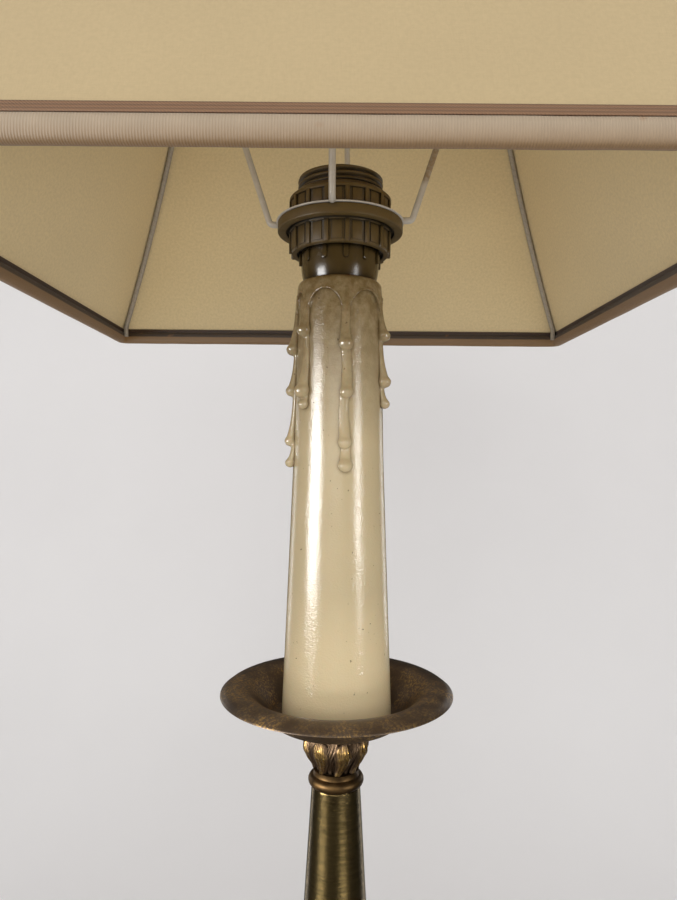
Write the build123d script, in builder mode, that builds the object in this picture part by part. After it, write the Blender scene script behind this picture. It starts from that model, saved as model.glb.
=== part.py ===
"""Candle lamp with a square bell shade, as it comes apart on a bench.

A weighted, dished foot carries a tapered brass column, a cast leaf knop and a drip pan. A hollow candle
stands in the pan, with an E27 lampholder on its top. One threaded stem runs through all of them. Two ring
nuts on the lampholder's outer thread clamp the wire carrier of the shade against a seat disc.

The frame: millimetres, +Z up, the origin on the lamp's axis at the underside of the foot, -Y the front.
"""

import os
from math import cos, radians, sin, sqrt

from build123d import *

os.makedirs("parts", exist_ok=True)

# ------------------------------------------------------------------ driving dimensions, millimetres
SLIP = 0.1  # gap all round a piece that slips into or over another
TURN_GAP = 0.15  # gap between the lampholder's thread and what turns or slides on it
FACE_GAP = 0.1  # gap between flat faces that turn on each other
OVERCUT = 1.0  # how far a cutting solid runs past what it cuts

# Foot
FELT_THICK = 2.0
FELT_SETBACK = 3.0  # felt's edge inside the foot's skirt
FOOT_RADIUS = 97.0
FOOT_BEAD = 3.0
FOOT_BEAD_LOW = 5.5  # skirt below the bead
FOOT_HEIGHT = 13.0  # felt to the dish's floor
FOOT_SHELL = 1.4
DISH_CHAMFER = 1.5
COVE_RADIUS = 16.0
PEDESTAL_RADIUS = 33.0
PEDESTAL_HEIGHT = 25.0  # dish floor to the pedestal's top
PEDESTAL_STEP = 3.0
PEDESTAL_NECK = 4.0  # straight neck under the pedestal's top
GALLERY_SETBACK = 3.5  # gallery's outer face inside the skirt
GALLERY_THICK = 1.6
GALLERY_HEIGHT = 11.0
GALLERY_BEAD = 1.8
WEIGHT_GAP = 2.0  # weight's edge inside the foot's skirt
WEIGHT_BOSS_RADIUS = 22.0
WEIGHT_BOSS_HEIGHT = 10.0  # boss above the weight's top
WEIGHT_RECESS_RADIUS = 15.0
WEIGHT_RECESS_DEPTH = 14.0
CABLE_SLOT_WIDTH = 18.0
CABLE_SLOT_DEPTH = 10.0
BUSH_BORE_RADIUS = 3.2
BUSH_WALL = 1.2
BUSH_FLANGE_WIDTH = 1.2
BUSH_FLANGE_THICK = 1.6
BUSH_TAIL = 4.0  # bush inside the skirt
BUSH_DROP = 3.5  # bush's axis below the middle of the foot's bead

# Stem and its fasteners, M10 x 1
STEM_RADIUS = 5.0
STEM_BORE_RADIUS = 4.0
NUT_FLATS = 14.0
NUT_THICK = 4.0
WASHER_RADIUS = 11.0
WASHER_THICK = 1.5
STEM_PROUD = 1.0  # stem's end beyond its nut

# Column
COLLAR_HEIGHT = 9.0
COLLAR_SEAT = 1.4  # collar's shoulder outside the column's foot
COLLAR_BEAD = 6.6
COLLAR_BULGE = 3.0
SPIGOT_HEIGHT = 6.0
COLUMN_HEIGHT = 249.5
COLUMN_FOOT_RADIUS = 25.9
COLUMN_TOP_RADIUS = 11.2
COLUMN_WALL = 1.3

# Neck ring, leaf knop and drip pan
NECK_BEAD_HEIGHT = 5.4
NECK_BEAD_RADIUS = 12.6
NECK_LIP_HEIGHT = 2.4
NECK_LIP_RADIUS = 12.2
NECK_ROOT_RADIUS = 11.2
KNOP_HEIGHT = 18.7
KNOP_FOOT_RADIUS = 10.8
KNOP_RADIUS = 15.2
KNOP_TOP_RADIUS = 14.4
KNOP_LEAVES = 8
KNOP_GROOVE = 0.9
KNOP_GROOVE_TURN = 8.0  # degrees of each groove between two leaves
KNOP_BULGE_HEIGHT = 12.6
KNOP_TIP_RADIUS = 2.6
KNOP_TIP_DROP = 4.4  # tips' middle below the knop's top
PAN_RADIUS = 53.3
PAN_CREST_RADIUS = 45.0
PAN_CREST_HEIGHT = 19.8  # pan's underside to the crest of its rim
PAN_EDGE_DROP = 3.2  # rim's edge below the crest
PAN_WELL_RADIUS = 34.7
PAN_WELL_DROP = 7.3  # well's edge below the crest
PAN_FLOOR_RADIUS = 28.0
PAN_FLOOR_HEIGHT = 5.0  # pan's underside to the floor of its well
PAN_SHEET = 1.6
PAN_BOSS_RADIUS = 16.0
PAN_EDGE_ROUND = 0.7

# Candle
CANDLE_HEIGHT = 200.0
CANDLE_FOOT_RADIUS = 25.3
CANDLE_WAIST_RADIUS = 22.5
CANDLE_WAIST_HEIGHT = 74.0
CANDLE_NECK_RADIUS = 20.8
CANDLE_NECK_HEIGHT = 120.0
CANDLE_TOP_RADIUS = 19.4
CANDLE_WALL = 2.4
CANDLE_SHOULDER = 2.4
WAX_THICK = 1.0  # molten wax that covers the candle's top
WAX_DEPTH = 34.0  # the wax before its arches are cut
WAX_ARCH_TOP = 7.0  # arch's crown below the candle's top
WAX_RUN_RADIUS = 2.3

# Wax runs: angle about the axis from +X, and the beads' depth below the candle's top and radius
WAX_RUNS = (
    (-172.0, ((31.0, 3.2), (50.0, 3.0), (73.0, 2.9), (83.0, 2.6))),
    (-138.0, ((24.0, 3.2), (51.0, 3.6), (57.0, 2.6))),
    (-82.0, ((31.0, 3.3), (52.0, 3.1), (74.0, 3.1), (84.0, 3.2))),
    (-18.0, ((25.0, 3.2), (46.0, 3.2), (56.0, 2.6))),
    (34.0, ((38.0, 3.1), (64.0, 3.0), (80.0, 2.6))),
    (86.0, ((30.0, 3.2), (58.0, 3.2), (69.0, 2.8))),
    (138.0, ((34.0, 3.1), (46.0, 2.9), (76.0, 3.0))),
)

# Lampholder, E27
CAP_SUNK = 9.0  # cap's boss below the candle's top
CAP_RISE = 14.0  # cap's rim above the candle's top
CAP_FOOT_RADIUS = 13.0
CAP_MOUTH_GAP = 0.2  # cap inside the candle's mouth
CAP_RIM_RADIUS = 18.2
CAP_WALL = 1.8
CAP_BELLY_RADIUS = 17.9
CAP_BELLY_RISE = 6.5  # cap's belly above the candle's top
CAP_SPIGOT = 4.0  # cap's reach into the shell
CAP_SKIRT = 5.5  # cap's straight inner wall
CAP_RIBS = 12
CAP_RIB_WIDTH = 1.6
CAP_RIB_PROUD = 0.9
CAP_RIB_HEIGHT = 7.0
CAP_BOSS_RADIUS = 8.0
CAP_BOSS_HEIGHT = 9.0
LOCK_SCREW_RADIUS = 1.5
LOCK_SCREW_PROUD = 0.5  # screw's end outside the boss
SHELL_RADIUS = 19.75
SHELL_HEIGHT = 33.8
SHELL_WALL = 2.0
SHELL_LIP = 2.2  # shell's inturned top lip
SHELL_LIP_THICK = 1.8
INSERT_FLOOR_THICK = 5.0
SOCKET_RADIUS = 13.3  # socket's thread at its crest
SCREW_SHELL_WALL = 0.5
SCREW_SHELL_HEIGHT = 14.0
SOCKET_POCKET_RADIUS = 12.9  # contacts' pocket under the screw shell
SOCKET_POCKET_DEPTH = 6.0
CONTACT_WIDTH = 6.0
CONTACT_THICK = 0.6
CONTACT_RISE = 4.0
CONTACT_SLOT_GAP = 0.25  # gap round a contact's leg in the insert
CONTACT_REACH = 4.0  # centre contact's tip past the axis
TERMINAL_OFFSET = 9.0
TERMINAL_SIZE = 6.0
TERMINAL_HEIGHT = 6.0
TERMINAL_SCREW_RADIUS = 1.5
TERMINAL_HEAD_RADIUS = 2.2
TERMINAL_HEAD_THICK = 1.2
TERMINAL_SLOT_WIDTH = 0.7
TERMINAL_SLOT_DEPTH = 0.6
TERMINAL_LEAD_DEPTH = 4.0  # lead's end in its terminal

# Shade ring nuts and seat disc
RING_RADIUS = 22.9
RING_RIBS = 16
RING_RIB_WIDTH = 2.0
RING_RIB_PROUD = 0.8
LOWER_RING_HEIGHT = 11.2
UPPER_RING_HEIGHT = 11.4
UPPER_RING_CHAMFER = 2.4
RING_RIB_MARGIN = 1.6  # plain band at each end of a ring's ribs
UPPER_RING_LIP = 0.6  # upper ring's edge outside its bore
RING_TURN = 7.5  # degrees from +X to the rings' first rib
LOWER_RING_DROP = 1.0  # lower ring's edge below the shell's foot
SEAT_RADIUS = 29.0
SEAT_THICK = 3.4
SEAT_RIM_DROP = 1.2
SEAT_RIM_WIDTH = 4.0

# Shade
CARRIER_THICK = 1.5
CARRIER_RADIUS = 30.0
WELD_SINK = 0.5  # a wire's end in what it is welded to
ARM_BEND_RADIUS = 3.5
ARM_FOOT_REACH = 33.0
ARM_SIDESTEP = 3.5  # arm's offset beside the carrier's centre line
SHADE_HEIGHT = 190.0
SHADE_FOOT = 150.0  # half side of the panels' outer faces at their foot
SHADE_TOP = 87.5  # the same at the top
SHADE_DIP = 6.15  # how far the faces curve in at half height
SHADE_HANG = 25.8  # panels' foot below the carrier ring's underside
PANEL_THICK = 0.8
WIRE_RADIUS = 1.5  # frames and corner ribs
WIRE_CORNER_RADIUS = 6.0
GLUE_GAP = 0.2  # gap between panel and wire, and between two panels
BINDING_HEIGHT = 7.6
BINDING_THICK = 5.6
BINDING_PROUD = 1.4  # binding's outer face outside the panels' foot
BINDING_ROUND = 2.3
BINDING_CORNER = 4.0
BINDING_SEAT = 1.5  # panels' edge sunk in the binding
TOP_BINDING_HEIGHT = 6.4
TOP_BINDING_THICK = 5.0
TOP_BINDING_ROUND = 2.0
BRAID_HEIGHT = 3.5
BRAID_THICK = 0.9
CORNER_BRAID_WIDTH = 4.0

# Inner leads
LEAD_RADIUS = 1.15
LEAD_SPREAD = 1.5  # axis to each lead inside the stem
LEAD_BEND = 3.5
LEAD_TAIL = 2.5  # lead's straight ends in the lampholder
LEAD_FAN = 20.0  # leads' straight stretch before they part, and their parting
LEAD_CLEARANCE = 1.4  # leads' underside above the felt
CONNECTOR_PITCH = 8.0
CONNECTOR_LENGTH = 16.0
CONNECTOR_WIDTH = 15.0
CONNECTOR_HEIGHT = 7.5
CONNECTOR_SETBACK = 41.0  # foot's edge to the connector's near end
CONNECTOR_HOLE_DEPTH = 6.0

# ------------------------------------------------------------------ levels, from the foot up
FELT_TOP = FELT_THICK
DISH_FLOOR = FELT_TOP + FOOT_HEIGHT
PEDESTAL_TOP = DISH_FLOOR + PEDESTAL_HEIGHT
COLUMN_FOOT = PEDESTAL_TOP + COLLAR_HEIGHT
COLUMN_TOP = COLUMN_FOOT + COLUMN_HEIGHT
KNOP_FOOT = COLUMN_TOP + NECK_BEAD_HEIGHT + NECK_LIP_HEIGHT
PAN_FOOT = KNOP_FOOT + KNOP_HEIGHT
PAN_FLOOR = PAN_FOOT + PAN_FLOOR_HEIGHT
PAN_CREST = PAN_FOOT + PAN_CREST_HEIGHT
CANDLE_TOP = PAN_FLOOR + CANDLE_HEIGHT
CAP_FOOT = CANDLE_TOP - CAP_SUNK
SHELL_FOOT = CANDLE_TOP + CAP_RISE
SHELL_TOP = SHELL_FOOT + SHELL_HEIGHT
LOWER_RING_FOOT = SHELL_FOOT - LOWER_RING_DROP
SEAT_FOOT = LOWER_RING_FOOT + LOWER_RING_HEIGHT + FACE_GAP
SEAT_TOP = SEAT_FOOT + SEAT_THICK
CARRIER_FOOT = SEAT_TOP + FACE_GAP
CARRIER_TOP = CARRIER_FOOT + CARRIER_THICK
UPPER_RING_FOOT = CARRIER_TOP + FACE_GAP
SHADE_Z = CARRIER_FOOT - SHADE_HANG
SHADE_Z_TOP = SHADE_Z + SHADE_HEIGHT
STEM_HOLE = STEM_RADIUS + SLIP
RECESS_TOP = FELT_TOP + WEIGHT_RECESS_DEPTH
NUT_FOOT = RECESS_TOP - WASHER_THICK - NUT_THICK
STEM_FOOT = NUT_FOOT - STEM_PROUD
STEM_TOP = CAP_FOOT + CAP_BOSS_HEIGHT - STEM_PROUD
SHELL_BORE = SHELL_RADIUS - SHELL_WALL
INSERT_FOOT = SHELL_FOOT + CAP_SPIGOT
TERMINAL_FOOT = INSERT_FOOT - TERMINAL_HEIGHT
SOCKET_FLOOR = INSERT_FOOT + INSERT_FLOOR_THICK
SCREW_SHELL_FOOT = SOCKET_FLOOR + SOCKET_POCKET_DEPTH
INSERT_TOP = SHELL_TOP - SHELL_LIP_THICK - SLIP
RING_BORE = SHELL_RADIUS + TURN_GAP
BINDING_TOP = SHADE_Z + BINDING_SEAT
BINDING_FOOT = BINDING_TOP - BINDING_HEIGHT
TOP_BINDING_FOOT = SHADE_Z_TOP - BINDING_SEAT
BRAID_TOP = BINDING_TOP + BRAID_HEIGHT
TOP_BRAID_FOOT = TOP_BINDING_FOOT - BRAID_HEIGHT
CORNERS = ((45, 1, 1), (135, -1, 1), (225, -1, -1), (315, 1, -1))  # turn, and which side of X and Y
SIDES = (("front", 270), ("right", 0), ("back", 90), ("left", 180))


def save(piece, name):
    """Labels a finished piece and writes it to its own STEP file."""
    piece.part.label = name
    export_step(piece.part, f"parts/{name}.step")


def bead(radius, low, high, proud):
    """A half-round bulge on a turned profile, standing proud of radius between two levels."""
    return ThreePointArc((radius, low), (radius + proud, (low + high) / 2), (radius, high))


def upright(turn, origin=(0, 0, 0)):
    """A vertical plane through the axis: its x runs outwards at turn degrees from +X, its y runs up."""
    outwards = Vector(cos(radians(turn)), sin(radians(turn)))
    return Plane(origin=origin, x_dir=outwards, z_dir=outwards.cross(Vector(0, 0, 1)))


def facing(turn, level, distance=0.0):
    """A plane that faces outwards at turn degrees from +X, its y up, its origin this far from the axis."""
    outwards = Vector(cos(radians(turn)), sin(radians(turn)))
    origin = outwards * distance + Vector(0, 0, level)
    return Plane(origin=origin, x_dir=(-outwards.Y, outwards.X), z_dir=outwards)


def washer(level, thickness, hole):
    """A flat washer on the stem, its lower face at a level."""
    with BuildPart() as disc:
        with BuildSketch(Plane.XY.offset(level)):
            Circle(WASHER_RADIUS)
            Circle(hole, mode=Mode.SUBTRACT)
        extrude(amount=thickness)
    return disc


def hex_nut(level):
    """A hexagon nut on the stem's thread, its lower face at a level."""
    with BuildPart() as nut:
        with BuildSketch(Plane.XY.offset(level)):
            RegularPolygon(NUT_FLATS / 2, 6, major_radius=False)
            Circle(STEM_RADIUS, mode=Mode.SUBTRACT)
        extrude(amount=NUT_THICK)
    return nut


# ------------------------------------------------------------------ foot
SKIRT_BORE = FOOT_RADIUS - FOOT_SHELL
BEAD_LOW = FELT_TOP + FOOT_BEAD_LOW
BEAD_HIGH = BEAD_LOW + 2 * FOOT_BEAD
BUSH_LEVEL = BEAD_LOW + FOOT_BEAD - BUSH_DROP
BUSH_RADIUS = BUSH_BORE_RADIUS + BUSH_WALL

with BuildPart() as felt_pad:
    with BuildSketch():
        Circle(FOOT_RADIUS - FELT_SETBACK)
        Circle(WEIGHT_RECESS_RADIUS, mode=Mode.SUBTRACT)
    extrude(amount=FELT_THICK)
save(felt_pad, "felt_pad")

with BuildPart() as base_weight:
    with BuildSketch(Plane.XY.offset(FELT_TOP)):
        Circle(SKIRT_BORE - WEIGHT_GAP)
    extrude(amount=FOOT_HEIGHT - FOOT_SHELL)
    with BuildSketch(Plane.XY.offset(DISH_FLOOR - FOOT_SHELL)):
        Circle(WEIGHT_BOSS_RADIUS)
    extrude(amount=WEIGHT_BOSS_HEIGHT)
    with BuildSketch(Plane.XY.offset(FELT_TOP)):
        Circle(WEIGHT_RECESS_RADIUS)
    extrude(amount=WEIGHT_RECESS_DEPTH, mode=Mode.SUBTRACT)
    with BuildSketch(Plane.XY.offset(FELT_TOP)):
        Circle(STEM_HOLE)
    extrude(amount=FOOT_HEIGHT + WEIGHT_BOSS_HEIGHT, mode=Mode.SUBTRACT)
    # The channel for the cable, from the recess to the skirt
    with BuildSketch(Plane.XY.offset(FELT_TOP)):
        with Locations((0, FOOT_RADIUS / 2)):
            Rectangle(CABLE_SLOT_WIDTH, FOOT_RADIUS)
    extrude(amount=CABLE_SLOT_DEPTH, mode=Mode.SUBTRACT)
save(base_weight, "base_weight")

# A spun shell: skirt with a half-round bead, flat dish floor, cove and pedestal, all one wall thick
with BuildPart() as base_dish:
    with BuildSketch(Plane.XZ):
        with BuildLine():
            cove_top = Vector(PEDESTAL_RADIUS + PEDESTAL_STEP, DISH_FLOOR + COVE_RADIUS)
            cove_foot = cove_top + Vector(COVE_RADIUS, -COVE_RADIUS)
            cove_sag = COVE_RADIUS * (1 - sqrt(0.5))
            Polyline((0, FELT_TOP), (FOOT_RADIUS, FELT_TOP), (FOOT_RADIUS, BEAD_LOW))
            bead(FOOT_RADIUS, BEAD_LOW, BEAD_HIGH, FOOT_BEAD)
            Polyline((FOOT_RADIUS, BEAD_HIGH), (FOOT_RADIUS - DISH_CHAMFER, DISH_FLOOR), cove_foot)
            ThreePointArc(cove_foot, (cove_top.X + cove_sag, cove_foot.Y + cove_sag), cove_top)
            Polyline(
                cove_top,
                (cove_top.X, PEDESTAL_TOP - PEDESTAL_NECK),
                (PEDESTAL_RADIUS, PEDESTAL_TOP - PEDESTAL_NECK + FOOT_SHELL),
                (PEDESTAL_RADIUS, PEDESTAL_TOP),
                (0, PEDESTAL_TOP),
                (0, FELT_TOP),
            )
        make_face()
        offset(amount=-FOOT_SHELL, mode=Mode.SUBTRACT)
        with Locations((SKIRT_BORE / 2, FELT_TOP)):
            Rectangle(SKIRT_BORE, 4 * FOOT_SHELL, mode=Mode.SUBTRACT)
        with Locations((0, PEDESTAL_TOP)):
            Rectangle(2 * STEM_HOLE, 2 * PEDESTAL_TOP, mode=Mode.SUBTRACT)
    revolve(axis=Axis.Z)
    with BuildSketch(facing(90, BUSH_LEVEL, FOOT_RADIUS / 2)):
        Circle(BUSH_RADIUS)
    extrude(amount=FOOT_RADIUS, mode=Mode.SUBTRACT)
save(base_dish, "base_dish")

with BuildPart() as base_gallery:
    with BuildSketch(Plane.XZ):
        with Locations((FOOT_RADIUS - GALLERY_SETBACK - GALLERY_THICK / 2, DISH_FLOOR + GALLERY_HEIGHT)):
            Circle(GALLERY_BEAD)
            Rectangle(GALLERY_THICK, GALLERY_HEIGHT, align=(Align.CENTER, Align.MAX))
    revolve(axis=Axis.Z)
save(base_gallery, "base_gallery")

with BuildPart() as cable_bush:
    with BuildSketch(facing(90, BUSH_LEVEL, SKIRT_BORE - BUSH_TAIL)):
        Circle(BUSH_RADIUS)
    extrude(amount=BUSH_TAIL + FOOT_SHELL + FOOT_BEAD)
    with BuildSketch(facing(90, BUSH_LEVEL, FOOT_RADIUS + FOOT_BEAD)):
        Circle(BUSH_RADIUS + BUSH_FLANGE_WIDTH)
    extrude(amount=BUSH_FLANGE_THICK)
    with BuildSketch(facing(90, BUSH_LEVEL, SKIRT_BORE - BUSH_TAIL)):
        Circle(BUSH_BORE_RADIUS)
    extrude(amount=FOOT_RADIUS, mode=Mode.SUBTRACT)
save(cable_bush, "cable_bush")

save(washer(RECESS_TOP - WASHER_THICK, WASHER_THICK, STEM_HOLE), "base_washer")
save(hex_nut(NUT_FOOT), "base_nut")

# ------------------------------------------------------------------ stem and column
with BuildPart() as stem_tube:
    with BuildSketch(Plane.XY.offset(STEM_FOOT)):
        Circle(STEM_RADIUS)
        Circle(STEM_BORE_RADIUS, mode=Mode.SUBTRACT)
    extrude(amount=STEM_TOP - STEM_FOOT)
save(stem_tube, "stem_tube")


def column_radius(level):
    """Outer radius of the column at a level."""
    share = (level - COLUMN_FOOT) / COLUMN_HEIGHT
    return COLUMN_FOOT_RADIUS + share * (COLUMN_TOP_RADIUS - COLUMN_FOOT_RADIUS)


with BuildPart() as column_foot:
    with BuildSketch(Plane.XZ):
        with BuildLine():
            shoulder = COLUMN_FOOT_RADIUS + COLLAR_SEAT
            spigot = column_radius(COLUMN_FOOT + SPIGOT_HEIGHT) - COLUMN_WALL - SLIP
            Line((STEM_HOLE, PEDESTAL_TOP), (shoulder, PEDESTAL_TOP))
            bead(shoulder, PEDESTAL_TOP, PEDESTAL_TOP + COLLAR_BEAD, COLLAR_BULGE)
            Polyline(
                (shoulder, PEDESTAL_TOP + COLLAR_BEAD),
                (shoulder, COLUMN_FOOT),
                (spigot, COLUMN_FOOT),
                (spigot, COLUMN_FOOT + SPIGOT_HEIGHT),
                (STEM_HOLE, COLUMN_FOOT + SPIGOT_HEIGHT),
                (STEM_HOLE, PEDESTAL_TOP),
            )
        make_face()
    revolve(axis=Axis.Z)
save(column_foot, "column_foot")

with BuildPart() as column:
    with BuildSketch(Plane.XZ):
        with BuildLine():
            Polyline(
                (COLUMN_FOOT_RADIUS - COLUMN_WALL, COLUMN_FOOT),
                (COLUMN_FOOT_RADIUS, COLUMN_FOOT),
                (COLUMN_TOP_RADIUS, COLUMN_TOP),
                (COLUMN_TOP_RADIUS - COLUMN_WALL, COLUMN_TOP),
                close=True,
            )
        make_face()
    revolve(axis=Axis.Z)
save(column, "column")

# ------------------------------------------------------------------ neck ring, leaf knop and drip pan
with BuildPart() as neck_bead:
    with BuildSketch(Plane.XZ):
        with BuildLine():
            spigot = COLUMN_TOP_RADIUS - COLUMN_WALL - SLIP
            bead_top = COLUMN_TOP + NECK_BEAD_HEIGHT
            Polyline(
                (STEM_HOLE, COLUMN_TOP - SPIGOT_HEIGHT),
                (spigot, COLUMN_TOP - SPIGOT_HEIGHT),
                (spigot, COLUMN_TOP),
                (NECK_ROOT_RADIUS, COLUMN_TOP),
            )
            bead(NECK_ROOT_RADIUS, COLUMN_TOP, bead_top, NECK_BEAD_RADIUS - NECK_ROOT_RADIUS)
            Polyline(
                (NECK_ROOT_RADIUS, bead_top),
                (NECK_LIP_RADIUS, KNOP_FOOT),
                (STEM_HOLE, KNOP_FOOT),
                (STEM_HOLE, COLUMN_TOP - SPIGOT_HEIGHT),
            )
        make_face()
    revolve(axis=Axis.Z)
save(neck_bead, "neck_bead")

# A core with raised leaves round it, which flare upwards and curl out at their tips
LEAF_PITCH = 360 / KNOP_LEAVES
LEAF_ARC = LEAF_PITCH - KNOP_GROOVE_TURN
with BuildPart() as leaf_knop:
    core = (KNOP_GROOVE, 0, 360)
    leaves = [(0, leaf * LEAF_PITCH, LEAF_ARC) for leaf in range(KNOP_LEAVES)]
    for inset, turn, arc in [core] + leaves:
        with BuildSketch(upright(turn)):
            with BuildLine():
                Line((STEM_HOLE, KNOP_FOOT), (KNOP_FOOT_RADIUS - inset, KNOP_FOOT))
                ThreePointArc(
                    (KNOP_FOOT_RADIUS - inset, KNOP_FOOT),
                    (KNOP_RADIUS - inset, KNOP_FOOT + KNOP_BULGE_HEIGHT),
                    (KNOP_TOP_RADIUS - inset, PAN_FOOT),
                )
                Polyline((KNOP_TOP_RADIUS - inset, PAN_FOOT), (STEM_HOLE, PAN_FOOT), (STEM_HOLE, KNOP_FOOT))
            make_face()
        revolve(axis=Axis.Z, revolution_arc=arc)
    with Locations(Plane.XY.offset(PAN_FOOT - KNOP_TIP_DROP)):
        with PolarLocations(KNOP_RADIUS - KNOP_TIP_RADIUS / 2, KNOP_LEAVES, start_angle=LEAF_ARC / 2):
            Sphere(KNOP_TIP_RADIUS)
save(leaf_knop, "leaf_knop")


def pan_side(depth):
    """The pan's side from its floor out to its rim's edge, this deep below its upper face."""
    slant = depth * sqrt(0.5)
    return Spline(
        (PAN_FLOOR_RADIUS, PAN_FLOOR - depth),
        (PAN_WELL_RADIUS + slant, PAN_CREST - PAN_WELL_DROP - slant),
        (PAN_CREST_RADIUS, PAN_CREST - depth),
        (PAN_RADIUS - slant, PAN_CREST - PAN_EDGE_DROP - slant),
        tangents=((1, 0), (1, -1)),
    )


# One sheet: flat floor, well, rolled-over rim; a boss below it seats on the knop
with BuildPart() as drip_pan:
    with BuildSketch(Plane.XZ) as pan_section:
        with BuildLine():
            upper = pan_side(0)
            lower = pan_side(PAN_SHEET)
            Line(upper @ 1, lower @ 1)
            Polyline(
                upper @ 0,
                (STEM_HOLE, PAN_FLOOR),
                (STEM_HOLE, PAN_FOOT),
                (PAN_BOSS_RADIUS, PAN_FOOT),
                (PAN_BOSS_RADIUS, PAN_FLOOR - PAN_SHEET),
                lower @ 0,
            )
        make_face()
        fillet(pan_section.vertices().sort_by(Axis.X)[-2:], PAN_EDGE_ROUND)
    revolve(axis=Axis.Z)
save(drip_pan, "drip_pan")

save(washer(PAN_FLOOR, WASHER_THICK, STEM_HOLE), "pan_washer")
save(hex_nut(PAN_FLOOR + WASHER_THICK), "pan_locknut")

# ------------------------------------------------------------------ candle
CANDLE_STATIONS = (
    (0, CANDLE_FOOT_RADIUS),
    (CANDLE_WAIST_HEIGHT, CANDLE_WAIST_RADIUS),
    (CANDLE_NECK_HEIGHT, CANDLE_NECK_RADIUS),
    (CANDLE_HEIGHT, CANDLE_TOP_RADIUS),
)


def candle_radius(depth):
    """Outer radius of the bare candle, this far below its top."""
    height = CANDLE_HEIGHT - depth
    for (low, low_radius), (high, high_radius) in zip(CANDLE_STATIONS, CANDLE_STATIONS[1:]):
        if height <= high:
            break
    return low_radius + (height - low) / (high - low) * (high_radius - low_radius)


def candle_body(inset):
    """Outline of the candle from the axis out, inset from its outer side."""
    side = [(radius - inset, PAN_FLOOR + height) for height, radius in CANDLE_STATIONS]
    return Polyline((0, PAN_FLOOR), *side, (0, CANDLE_TOP), close=True)


# Molten wax covers the top and runs down in legs, with an arch between each two; beads hang on each run
with BuildPart() as candle_sleeve:
    with BuildSketch(Plane.XZ):
        with BuildLine():
            coat_foot = candle_radius(WAX_DEPTH) + WAX_THICK
            coat_top = CANDLE_TOP_RADIUS + WAX_THICK
            Polyline(
                (0, CANDLE_TOP - WAX_DEPTH),
                (coat_foot, CANDLE_TOP - WAX_DEPTH),
                (coat_top, CANDLE_TOP),
                (0, CANDLE_TOP),
                close=True,
            )
        make_face()
    revolve(axis=Axis.Z)
    for run, (turn, _) in enumerate(WAX_RUNS):
        last_turn = WAX_RUNS[run - 1][0] - (360 if run == 0 else 0)
        half_width = coat_top * sin(radians(turn - last_turn) / 2) - WAX_RUN_RADIUS
        with BuildSketch(facing((turn + last_turn) / 2, CANDLE_TOP)):
            with Locations((0, -WAX_ARCH_TOP - half_width)):
                Circle(half_width)
                Rectangle(2 * half_width, WAX_DEPTH, align=(Align.CENTER, Align.MAX))
        extrude(amount=2 * coat_foot, mode=Mode.SUBTRACT)
    with BuildSketch(Plane.XZ):
        with BuildLine():
            candle_body(0)
        make_face()
    revolve(axis=Axis.Z)
    top_edge = candle_sleeve.faces().sort_by(Axis.Z)[-1].outer_wire().edges()
    fillet(top_edge, CANDLE_SHOULDER)
    for turn, beads in WAX_RUNS:
        last_depth = beads[-1][0]
        run_length = last_depth - WAX_ARCH_TOP
        top = facing(turn, CANDLE_TOP - WAX_ARCH_TOP, candle_radius(WAX_ARCH_TOP) + WAX_THICK / 2)
        foot = facing(turn, CANDLE_TOP - last_depth, candle_radius(last_depth) + WAX_THICK / 2)
        rise = (top.origin - foot.origin).normalized()
        with BuildSketch(Plane(origin=top.origin, x_dir=top.x_dir.cross(rise), z_dir=-top.x_dir)):
            Rectangle(WAX_RUN_RADIUS, run_length, align=(Align.MIN, Align.MAX))
            for depth, radius in beads:
                with Locations((0, WAX_ARCH_TOP - depth)):
                    Circle(radius)
            half_plane = (Align.MIN, Align.CENTER)
            Rectangle(CANDLE_TOP_RADIUS, 2 * CANDLE_HEIGHT, align=half_plane, mode=Mode.INTERSECT)
        revolve(axis=Axis(top.origin, rise))
    with BuildSketch(Plane.XZ):
        with BuildLine():
            candle_body(CANDLE_WALL)
        make_face()
    revolve(axis=Axis.Z, mode=Mode.SUBTRACT)
save(candle_sleeve, "candle_sleeve")

# ------------------------------------------------------------------ lampholder
CAP_SEAT_RADIUS = CANDLE_TOP_RADIUS - CANDLE_WALL - CAP_MOUTH_GAP
CAP_BORE = CAP_RIM_RADIUS - CAP_WALL
RIB_TURNS = [rib * 360 / CAP_RIBS for rib in range(CAP_RIBS)]

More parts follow.
